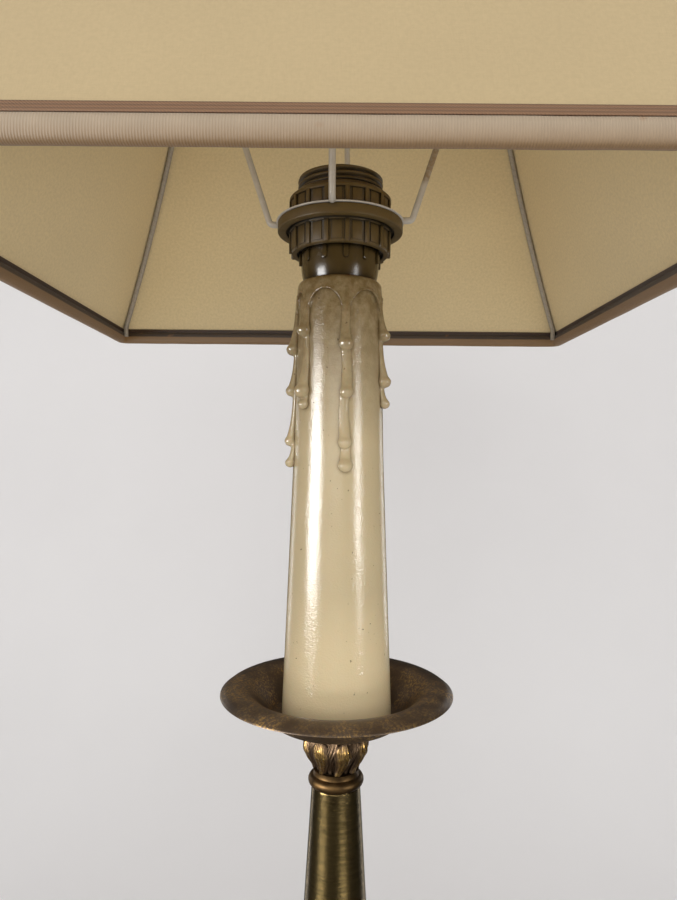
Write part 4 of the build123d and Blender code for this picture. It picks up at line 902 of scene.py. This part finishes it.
class LAMP_OT_candle(bpy.types.Operator):
    """Turns the candle, wraps molten wax over its top and hangs beaded runs from it."""

    bl_idname = "lamp.candle"
    bl_label = "Candle and wax"

    def execute(self, context):
        settings = context.scene.lamp_stand
        wax = settings.wax_thick / MM
        resin = cast_resin(settings.candle)
        foot, mouth = 24.9, 16.0
        levels = [PAN_FLOOR + 0.3 + 4 * step for step in range(50)]
        outer = [(candle_radius(level), level) for level in levels if level < CANDLE_TOP - COAT_ROUND]
        outer = [(foot, PAN_FLOOR)] + outer + arc(16.2, CANDLE_TOP - 2.4, 2.2, 0, 90, 6)
        inner = [(mouth, CANDLE_TOP - 0.2), (mouth, CANDLE_TOP - 6), (foot - 2, PAN_FLOOR), (foot, PAN_FLOOR)]
        candle = turned("candle_body", outer + inner, 128)
        dress(candle, resin, "stand", "cream_resin", "candle_sleeve", angle=50)

        turns = [turn for turn, _ in WAX_RUNS]
        round_radius, run_half, arch_top, arch_stretch = 20.4, 1.9, 6.6, 1.15

        def coat_depth(turn):
            """Depth of the wax's lower edge at a turn: an arch between each two runs."""
            for this, following in zip(turns, turns[1:] + [turns[0] + 360]):
                if this <= turn < following or this <= turn + 360 < following:
                    at = turn if this <= turn else turn + 360
                    half = (following - this) / 2
                    reach = round_radius * radians(half) - run_half
                    offset = min(1.0, abs(round_radius * radians(at - this - half)) / reach)
                    arch = arch_top + reach * arch_stretch * (1 - sqrt(1 - offset**2))
                    return arch + (0.0 if offset < 1 else 3.0)

        def place(across, up):
            turn = -180 + 360 * across
            depth = coat_depth(turn)
            length = 3.6 + 2.4 * pi / 2 * 0.64
            along = (1 - up) * (length + depth)
            if along < 1.0:
                radius, level = 15.9 + along, CANDLE_TOP
            elif along < length:
                angle = (along - 1.0) / (length - 1.0) * pi / 2
                radius, level = 16.9 + COAT_ROUND * sin(angle), CANDLE_TOP - COAT_ROUND * (1 - cos(angle))
            else:
                level = CANDLE_TOP - COAT_ROUND - (along - length) / depth * (depth - COAT_ROUND)
                radius = candle_radius(level) + wax + 0.15 * noise(Vector((turn * 0.12, level * 0.25, 3)))
                radius += 0.5 * exp(-(((length + depth - along - 0.9) / 0.9) ** 2))
            return (radius * cos(radians(turn)), radius * sin(radians(turn)), level)

        coat = placed_grid("wax_coat", 300, 16, place)
        close_mesh(coat)
        modify(coat, "SOLIDIFY", thickness=1.5 * MM, offset=-1.0)
        drops = []
        for number, (turn, beads) in enumerate(WAX_RUNS, 1):
            start = COAT_DEPTH
            for step, (end, ball) in enumerate(beads):
                shift = 0.7 * sin(number * 2.3 + step * 1.9) if step else 0.0
                drops.append(self.drop(f"drop_{number}_{step}", turn, start, end, ball, shift))
                start = end - 1.0
        melted = join("candle_wax", [coat] + drops)
        modify(melted, "REMESH", mode="VOXEL", voxel_size=0.42 * MM)
        modify(melted, "SMOOTH", factor=0.5, iterations=2)
        close_mesh(melted)
        dress(melted, resin, "stand", "cream_resin", angle=80)
        return {"FINISHED"}

    def drop(self, name, turn, start, end, ball, shift):
        """One drop of wax: a flat strip that runs down the candle and gathers into a ball at its end."""
        outwards, sideways = heading(turn), heading(turn + 90)
        first = start == COAT_DEPTH
        strip = 1.7 if first else 2.2

        def place(across, up):
            depth = start + (end + ball - start) * (1 - up)
            angle = 2 * pi * across
            level = CANDLE_TOP - depth
            share = min(1.0, (depth - start) / (end - start))
            gathered = share**3
            strip_size = strip + (0.86 * ball - strip) * gathered
            size = sqrt(max(1e-4, ball**2 - (depth - end) ** 2))
            round_share = 1.0 if depth > end else size / ball if depth > end - 0.8 * ball else 0.0
            if depth < end:
                size = max(strip_size, size if depth > end - ball else 0.0)
                size *= min(1.0, 0.3 + (depth - start) / 2)
            centre = outwards * (candle_radius(level) + 0.1 + 0.5 * ball * max(gathered, round_share))
            centre += sideways * (shift * min(1.0, share * 2) + 0.25 * sin(depth * 0.2 + turn))
            flat = (0.75 if first else 0.5) * (1 - gathered) + gathered
            centre += outwards * (size * flat * cos(angle)) + sideways * (size * sin(angle))
            return centre + Vector((0, 0, level))

        piece = placed_grid(name, 20, ceil((end - start) / 0.6), place)
        with editing(piece):
            bpy.ops.mesh.remove_doubles(threshold=1e-5)
            bpy.ops.mesh.select_all(action="DESELECT")
            bpy.ops.mesh.select_non_manifold()
            bpy.ops.mesh.fill_holes(sides=0)
        return close_mesh(piece)


# ------------------------------------------------------------------ lampholder
def helix(piece, low, high, radius, pitch, depth, inside=False):
    """Presses a rounded helical groove into the wall at a radius, between two levels, in millimetres."""
    for vertex in piece.data.vertices:
        across = hypot(vertex.co.x, vertex.co.y) / MM
        level = vertex.co.z / MM
        if abs(across - radius) > 0.05 or not low < level < high:
            continue
        phase = (level - low) / pitch - atan2(vertex.co.y, vertex.co.x) / (2 * pi)
        wave = (0.5 + 0.5 * cos(2 * pi * phase)) ** 1.6
        fade = min(1.0, (level - low) / 1.0, (high - level) / 0.5)
        moved = across + (depth if inside else -depth) * wave * fade
        vertex.co.x *= moved / across
        vertex.co.y *= moved / across
    return piece


def wall(radius, low, high, step):
    """Points up a straight wall, close enough together to take a thread."""
    count = ceil((high - low) / step)
    return [(radius, low + (high - low) * at / count) for at in range(count + 1)]


class LAMP_OT_lampholder(bpy.types.Operator):
    """Moulds the lampholder: its ribbed cap, its threaded shell and the rolled screw inside."""

    bl_idname = "lamp.lampholder"
    bl_label = "Lampholder"

    def execute(self, context):
        settings = context.scene.lamp_holder
        plastic = moulded_plastic("olive_thermoplastic", settings.plastic)
        glossy = moulded_plastic("glossy_thermoplastic", shaded(settings.plastic, 0.6), 0.2)
        foot, rim, top, bore, spigot, boss = 521.0, 544.0, 548.0, 5.0, 17.75, 8.0
        outline = (
            [(bore, foot), (13.0, foot), (16.8, 529.6)]
            + smooth_line([(16.8, 530.0), (17.7, 534.5), (18.1, 539.0), (18.2, 543.4)], 5)
            + [(18.2, rim), (spigot, rim), (spigot, top), (16.4, top), (16.4, 538.5), (15.0, 530.0)]
            + [(11.2, 522.8), (boss, 522.8), (boss, 530.0), (bore, 530.0), (bore, foot)]
        )
        cap = turned("cap_body", outline, 96)
        rib = block("cap_rib", (2.2, 2.3, 6.6), (17.95, 0, 540.7))
        with editing(rib):
            # The rib's two lower edges that point outwards become a half-round foot
            mesh = bmesh.from_edit_mesh(rib.data)
            for edge in mesh.edges:
                start, end = (vertex.co for vertex in edge.verts)
                edge.select = max(start.z, end.z) < 0.538 and abs(start.y - end.y) < 1e-6
            bmesh.update_edit_mesh(rib.data)
            bpy.ops.mesh.bevel(offset=1.1 * MM, segments=4)
        cap = join("holder_cap_moulding", [cap, round_axis("cap_ribs", soften(rib, 0.2), 12, 8)])
        dress(cap, glossy, "stand", "olive_plastic", "holder_cap", angle=40)

        thread, mouth, chamfer, lip = 19.7, 15.55, 0.4, SHELL_TOP - 1.8
        outline = [(spigot, SHELL_FOOT), (19.4, SHELL_FOOT)]
        outline += wall(thread, SHELL_FOOT + chamfer, SHELL_TOP - chamfer, 0.28)
        outline += [(19.3, SHELL_TOP), (15.9, SHELL_TOP), (mouth, SHELL_TOP - chamfer), (mouth, lip)]
        outline += [(spigot, lip), (spigot, SHELL_FOOT)]
        barrel = turned("threaded_shell", outline, 120)
        helix(barrel, SHELL_FOOT, SHELL_TOP, thread, THREAD_PITCH, settings.thread_depth / MM)
        dress(barrel, plastic, "stand", "olive_plastic", "holder_shell", angle=50)

        low, high, outside, inside = foot_of("screw_shell"), top_of("screw_shell"), 13.8, 13.35
        screw = [(outside, low), (outside, high), *reversed(wall(inside, low, high, 0.4)), (outside, low)]
        rolled = turned("rolled_screw_shell", screw, 72)
        helix(rolled, low + 0.5, high - 0.5, inside, SOCKET_PITCH, 0.35, inside=True)
        dress(rolled, bpy.data.materials["bright_brass"], "stand", "contact_brass", "screw_shell", angle=50)
        return {"FINISHED"}


class LAMP_OT_rings(bpy.types.Operator):
    """Moulds the two ribbed ring nuts and the flanged disc between them."""

    bl_idname = "lamp.rings"
    bl_label = "Shade rings and seat disc"

    def execute(self, context):
        plastic = bpy.data.materials["olive_thermoplastic"]
        side, rim, count = 22.7, 23.6, 16
        for place, cone in (("lower", 0.0), ("upper", 2.4)):
            node, body = f"{place}_shade_ring", f"{place}_ring"
            foot, top = foot_of(node), top_of(node)
            wall_top = top - cone
            outline = [(RING_BORE, foot), (22.2, foot), (side, foot + 0.5), (side, wall_top - 1.7)]
            outline += [(rim, wall_top - 1.6), (rim, wall_top - 0.2), (20.6 if cone else 23.4, top)]
            outline += [(RING_BORE, top), (RING_BORE, foot)]
            ring = soften(turned(node, outline, 128), 0.18)
            height = wall_top - foot - 1.4
            rib = soften(block("rib", (1.6, 2.0, height), (22.9, 0, foot + 0.1 + height / 2)), 0.22)
            raised = block("raised", (0.9, 4.6, height - 1.6), (22.5, 0, foot + 0.4 + height / 2))
            soften(raised, 0.2)
            parts = [ring, round_axis("ribs", rib, count, 7.5), round_axis("fields", raised, count, 18.75)]
            dress(join(node + "_moulding", parts), plastic, body, "olive_plastic", node, angle=30)
        low, high = foot_of("seat_disc"), top_of("seat_disc")
        flange, skirt, web = 29.0, 25.0, low + 1.2
        outline = [(RING_BORE, web), (skirt, web), (skirt, low), (28.8, low), (flange, low + 0.3)]
        outline += [(flange, high - 0.3), (28.7, high), (RING_BORE, high), (RING_BORE, web)]
        disc = soften(turned("seat_disc_moulding", outline, 128), 0.2)
        dress(disc, plastic, "seat", "olive_plastic", "seat_disc", angle=30)
        return {"FINISHED"}


# ------------------------------------------------------------------ shade
class LAMP_OT_frame(bpy.types.Operator):
    """Bends the shade's carrier, arms, frame wires and tape-wound corner ribs."""

    bl_idname = "lamp.wire_frame"
    bl_label = "Wire frame"

    def execute(self, context):
        enamel = wire_enamel("white_enamel", False)
        stained = wire_enamel("stained_enamel", True)
        foot, top = foot_of("carrier_ring"), top_of("carrier_ring")
        outline = [(RING_BORE, foot), (29.4, foot), (29.7, foot + 0.3), (29.2, foot + 0.7), (26.5, top)]
        outline += [(RING_BORE, top), (RING_BORE, foot)]
        plate = soften(turned("carrier_plate", outline, 128), 0.3)
        dress(plate, enamel, "shade", "white_enamel", "carrier_ring")
        middle = foot + 0.75
        frame_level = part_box("top_frame")[0].z / MM + WIRE_RADIUS
        frame_half = shade_half(frame_level, -PANEL_THICK - 0.2 - WIRE_RADIUS)
        for name, turn in SIDES:
            stations = ((28.6, middle), (33.0, middle), (frame_half, frame_level - 1))
            beside = heading(turn - 90) * 3.5
            points = [beside + heading(turn) * out + Vector((0, 0, up)) for out, up in stations]
            arm = bent_wire(f"arm_{name}", points, WIRE_RADIUS, 3.5)
            finish = stained if name == "right" else enamel
            dress(arm, finish, "shade", "white_enamel", f"carrier_arm_{name}", angle=60)
        loop = square_loop("top_wire", arc(0, frame_level, WIRE_RADIUS, 0, 330, 11), frame_half, 6.0)
        dress(loop, enamel, "shade", "white_enamel", "top_frame", angle=60)

        tape = wound_tape(linear("#a89f90"))
        low, high = foot_of("bottom_frame") + 2.5, frame_level
        for number, turn in CORNERS:
            points = []
            for level in (low + (high - low) * step / 30 for step in range(31)):
                half = min(shade_half(max(SHADE_FOOT, level), -2.6), 145.0 + (level - low) * 0.2)
                points.append(heading(turn) * sqrt(2) * half + Vector((0, 0, level)))
            rib = bent_wire(f"wound_rib_{number}", points, WIRE_RADIUS, 1.0, 16)
            dress(rib, tape, "shade", "rib_tape", f"corner_rib_{number}", angle=60)
        return {"FINISHED"}


class LAMP_OT_panels(bpy.types.Operator):
    """Stretches the four cloth panels over the frame."""

    bl_idname = "lamp.panels"
    bl_label = "Panels"

    def execute(self, context):
        settings = context.scene.lamp_shade
        slack = settings.slack / MM
        cloth = panel_cloth("panel_cloth", settings.cloth)
        # Inner faces take the lighter lining: partly the card's own colour, partly painted light inside the
        # shade
        lit_lining = panel_cloth("panel_lining", settings.lit_lining, 0.4)
        rows = 40
        for number, (name, turn) in enumerate(SIDES):
            outwards, along = heading(turn), heading(turn + 90)

            def place(across, up):
                level = SHADE_FOOT + (SHADE_TOP - SHADE_FOOT) * up
                half = shade_half(level)
                side = 2 * across - 1
                calm = (1 - side**2) * 4 * up * (1 - up)
                wave = slack * calm * noise(Vector((side * 2.2, up * 2.2, number * 7.3)))
                off_axis = outwards * (half - 0.02 + wave) + along * ((half - 0.25) * side)
                return off_axis + Vector((0, 0, level))

            panel = placed_grid(f"cloth_panel_{name}", 36, rows, place)
            close_mesh(panel)
            face_towards(panel, outwards)
            modify(panel, "SOLIDIFY", thickness=PANEL_THICK * MM, offset=-1.0)
            lay_side_uv(panel)
            dress(panel, cloth, "shade", "beige_fabric", f"panel_{name}", angle=60)
            panel.data.materials.append(lit_lining)
            for side in panel.data.polygons:
                side.material_index = int(side.normal.dot(outwards) < -0.3)
        return {"FINISHED"}


class LAMP_OT_trims(bpy.types.Operator):
    """Rolls the ribbed ribbon round both edges and lays the braids and the inner fold."""

    bl_idname = "lamp.trims"
    bl_label = "Bindings and braids"

    def execute(self, context):
        settings = context.scene.lamp_shade
        ribbon = ribbed_ribbon(settings.ribbon)
        braid = twill_braid("twill_braid", settings.braid)
        # Painted shade: the inner fold is the braid darkened to three tenths of its colour
        fold = twill_braid("shaded_fold_twill", shaded(settings.braid, 0.3))
        for node, outer, thick in (("bottom_binding", 151.4, 5.6), ("top_binding", 88.9, 5.0)):
            low, high = foot_of(node), top_of(node)
            middle, rise = (low + high) / 2, (high - low) / 2
            # A square with well rounded corners
            section = []
            for across, up in arc(0, 0, 1, 0, 345, 23):
                wide, tall = (copysign(abs(part) ** 0.75, part) for part in (across, up))
                section.append((wide * thick / 2, middle + tall * rise))
            roll = square_loop(f"ribbon_{node}", section, outer - thick / 2, 4.2, 60)
            for vertex in roll.data.vertices:
                vertex.co.z += 0.00012 * noise(vertex.co * 60)

            def shade_and_browning(spot):
                """How dark the ribbon is at a spot, painted shade and browning together: half on its lower
                side, wholly on its inner side.
                """
                out = (max(abs(spot.x), abs(spot.y)) - outer + thick / 2) / (thick / 2)
                up = (spot.z - middle) / rise
                share = min(1.0, max(0.0, (1.05 - 0.8 * out - 0.9 * up) / 1.5))
                return 1.0 if out < -0.1 and up > 0.3 else 0.5 * share

            paint(roll, "shade_and_browning", shade_and_browning)
            dress(lay_side_uv(roll), ribbon, "shade", "taupe_grosgrain", node, angle=60)
        for node in ("bottom_braid", "top_braid"):
            low, high = foot_of(node), top_of(node)
            half = shade_half(low)
            lean = shade_half(high) - half
            section = [(0.0, low), (0.8, low), (0.9, low + 0.2)]
            section += [(0.9 + lean, high - 0.2), (0.7 + lean, high), (lean, high)]
            tape = lay_side_uv(square_loop(f"tape_{node}", section, half, 1.2, 60))
            dress(tape, braid, "shade", "brown_braid", node, angle=50)
        low, high = 532.6, 535.4
        half = shade_half(low, -PANEL_THICK)
        lean = shade_half(high, -PANEL_THICK) - half
        section = [(-0.6, low), (-0.02, low), (lean - 0.02, high), (lean - 0.5, high)]
        inner = lay_side_uv(square_loop("inner_fold", section, half, 1.0, 60))
        dress(inner, fold, "shade", "brown_braid", angle=50)
        for number, turn in CORNERS:
            x_side, y_side = copysign(1, heading(turn).x), copysign(1, heading(turn).y)
            low, high = foot_of(f"corner_braid_{number}"), top_of(f"corner_braid_{number}")

            def place(across, up):
                level = low + (high - low) * up
                half = shade_half(level)
                grow = 0.85
                off = 4.0 * abs(2 * across - 1)
                ease = grow * (1 - 0.12 * abs(2 * across - 1) ** 6)
                near, far = half - off + min(grow, off), half + ease
                x_half, y_half = (near, far) if across < 0.5 else (far, near)
                return (x_side * x_half, y_side * y_half, level)

            piece = placed_grid(f"corner_tape_{number}", 12, 60, place)
            face_towards(close_mesh(piece), heading(turn))
            modify(piece, "SOLIDIFY", thickness=0.8 * MM, offset=-1.0)
            layer = uv_layer(piece)
            for loop in piece.data.loops:
                spot = piece.data.vertices[loop.vertex_index].co
                layer.data[loop.index].uv = (spot.z, spot.x * x_side - spot.y * y_side)
            dress(piece, braid, "shade", "brown_braid", f"corner_braid_{number}", angle=50)
        return {"FINISHED"}


# ------------------------------------------------------------------ inner parts
class LAMP_OT_inner_parts(bpy.types.Operator):
    """Gives the stem, the weight, the leads and the other inner solids their finishes."""

    bl_idname = "lamp.inner_parts"
    bl_label = "Inner parts"

    def execute(self, context):
        zinc = plain_metal("zinc_plate", "#b9b8ae", 0.34)
        brass = plain_metal("bright_brass", "#c9a65c", 0.26)
        pale = moulded_plastic("pale_thermoset", linear("#c9c5b8"), 0.45)
        finishes = {
            pressed_felt(): ("felt_pad",),
            painted_casting(): ("base_weight",),
            moulded_rubber(): ("cable_bush",),
            zinc: ("base_washer", "base_nut", "stem_tube", "pan_washer", "pan_locknut")
            + ("cap_grub_screw", "terminal_screws"),
            brass: ("centre_contact", "side_contact", "terminals"),
            pale: ("holder_insert", "connector_block"),
            moulded_plastic("brown_insulation", linear("#5c3620"), 0.4): ("live_lead",),
            moulded_plastic("blue_insulation", linear("#2f6196"), 0.4): ("neutral_lead",),
            moulded_plastic("hidden_wire_enamel", linear("#bdb5a6"), 0.4): ("bottom_frame",),
        }
        for material, names in finishes.items():
            for name in names:
                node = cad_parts[name]
                node.data.materials.clear()
                node.data.materials.append(material)
        return {"FINISHED"}


# ------------------------------------------------------------------ stage
# Each lamp's turn off the front in degrees, distance, level, width and height in metres, share of the power,
# the level on the axis that it faces, and whether it lights, glints or does both. The windows and edges glint
# on the candle, the low ones on the column.
LAMPS = (
    ("key", -9, 1.9, 0.95, 1.4, 0.9, 0.84, 0.45, "both"),
    ("overhead", 12, 1.4, 1.9, 1.6, 1.2, 0.4, 0.45, "both"),
    ("fill", 4, 1.3, 0.12, 0.9, 0.2, 0.15, 0.62, "light"),
    ("window_left", -58, 0.7, 0.44, 0.3, 0.25, 0.7, 0.44, "glint"),
    ("window_right", 49, 0.7, 0.44, 0.09, 0.25, 0.17, 0.44, "glint"),
    ("edge_left", -134, 0.7, 0.36, 0.12, 0.34, 0.03, 0.36, "glint"),
    ("edge_right", 140, 0.7, 0.36, 0.12, 0.34, 0.03, 0.36, "glint"),
    ("low_left", -56, 0.3, 0.085, 0.13, 0.15, 0.0075, 0.14, "glint"),
    ("low_right", 30, 0.3, 0.085, 0.09, 0.15, 0.006, 0.14, "glint"),
    ("low_edge_left", -136, 0.3, 0.1, 0.05, 0.22, 0.004, 0.2, "glint"),
    ("low_edge_right", 136, 0.3, 0.1, 0.05, 0.22, 0.004, 0.2, "glint"),
)


class LAMP_OT_stage(bpy.types.Operator):
    """Sets the pale floor and backdrop, the soft lamps, the world and the camera."""

    bl_idname = "lamp.stage"
    bl_label = "Stage"

    def execute(self, context):
        settings = context.scene.lamp_stage
        scene = context.scene

        def place(across, up):
            floor, bend, wall_height = 2350.0, 400.0, 2400.0
            run = up * (floor + bend * pi / 2 + wall_height)
            angle = min(pi / 2, max(0.0, run - floor) / bend)
            depth = -2000 + min(run, floor) + bend * sin(angle)
            level = bend * (1 - cos(angle)) + max(0.0, run - floor - bend * pi / 2)
            return ((across - 0.5) * 9600.0, depth, level)

        paper = placed_grid("floor_and_backdrop", 8, 120, place)
        close_mesh(paper)
        finish = Finish("painted_paper", Roughness=0.9)
        clouds = finish.grain(260.0, 3.0)
        base = finish.mix(clouds, shaded(settings.paper, 0.96), shaded(settings.paper, 1.03))
        # Polished metal mirrors a darker room than the paper round it
        mirrored = finish.add("ShaderNodeLightPath").outputs["Is Glossy Ray"]
        finish.colour(finish.mix(mirrored, base, shaded(settings.paper, 0.05)))
        paper.data.materials.append(finish.bump(finish.grain(2.0), 0.05).material)
        select_only(paper)
        bpy.ops.object.shade_smooth()

        for name, turn, distance, level, width, height, power, aim, effect in LAMPS:
            clear_selection()
            spot = heading(turn - 90) * distance + Vector((0, 0, level))
            bpy.ops.object.light_add(type="AREA", location=spot)
            light = bpy.context.object
            light.name = name
            light.data.shape = "RECTANGLE"
            light.data.size, light.data.size_y = width, height
            light.data.energy = power * settings.window
            light.rotation_euler = (Vector((0, 0, aim)) - spot).to_track_quat("-Z", "Y").to_euler()
            light.visible_camera = False
            light.visible_diffuse = effect != "glint"
            light.visible_glossy = effect != "light"

        world = bpy.data.worlds.new("room")
        scene.world = world
        world.use_nodes = True
        tree = world.node_tree
        tree.nodes.clear()
        path = add_node(tree, "ShaderNodeLightPath").outputs
        diffuse, glossy, straight = 0.6, 0.03, 0.7
        unseen = add_node(tree, "ShaderNodeMix", {0: path["Is Glossy Ray"], 2: diffuse, 3: glossy})
        shares = {0: path["Is Camera Ray"], 2: unseen.outputs[0], 3: straight}
        strength = add_node(tree, "ShaderNodeMix", shares).outputs[0]
        shine = add_node(tree, "ShaderNodeBackground", {"Color": linear("#fefdfb"), "Strength": strength})
        add_node(tree, "ShaderNodeOutputWorld", {"Surface": shine.outputs[0]})

        clear_selection()
        bpy.ops.object.camera_add(location=(0, -0.314, 0.45), rotation=(radians(90.5), 0, 0))
        camera = bpy.context.object
        camera.rotation_euler.rotate_axis("Z", radians(0.45))
        camera.data.sensor_fit = "VERTICAL"
        camera.data.sensor_height = 36.0
        camera.data.lens = 27.04
        camera.data.clip_start = 0.01
        scene.camera = camera
        scene.view_settings.view_transform = "Standard"
        return {"FINISHED"}


# ------------------------------------------------------------------ panel and registration
OPERATORS = (
    LAMP_OT_stage,
    LAMP_OT_inner_parts,
    LAMP_OT_foot,
    LAMP_OT_column,
    LAMP_OT_knop,
    LAMP_OT_pan,
    LAMP_OT_candle,
    LAMP_OT_lampholder,
    LAMP_OT_rings,
    LAMP_OT_frame,
    LAMP_OT_panels,
    LAMP_OT_trims,
)
GROUPS = {
    "lamp_stand": LAMP_PG_stand,
    "lamp_holder": LAMP_PG_holder,
    "lamp_shade": LAMP_PG_shade,
    "lamp_stage": LAMP_PG_stage,
}


class LAMP_PT_sidebar(bpy.types.Panel):
    """Lists the settings and the pieces."""

    bl_idname = "LAMP_PT_sidebar"
    bl_label = "Candle lamp"
    bl_space_type = "VIEW_3D"
    bl_region_type = "UI"
    bl_category = "Candle lamp"

    def draw(self, context):
        for field, group in GROUPS.items():
            box = self.layout.box()
            for name in group.__annotations__:
                box.prop(getattr(context.scene, field), name)
        for operator in OPERATORS:
            self.layout.operator(operator.bl_idname)


def register():
    """Registers the groups, the operators and the panel."""
    for field, group in GROUPS.items():
        bpy.utils.register_class(group)
        setattr(bpy.types.Scene, field, PointerProperty(type=group))
    for operator in OPERATORS:
        bpy.utils.register_class(operator)
    bpy.utils.register_class(LAMP_PT_sidebar)


def unregister():
    """Takes them out again."""
    bpy.utils.unregister_class(LAMP_PT_sidebar)
    for operator in reversed(OPERATORS):
        bpy.utils.unregister_class(operator)
    for field, group in GROUPS.items():
        delattr(bpy.types.Scene, field)
        bpy.utils.unregister_class(group)


def main():
    """Builds every piece."""
    register()
    for operator in OPERATORS:
        group, name = operator.bl_idname.split(".")
        getattr(getattr(bpy.ops, group), name)()
    clear_selection()


if __name__ == "__main__":
    main()
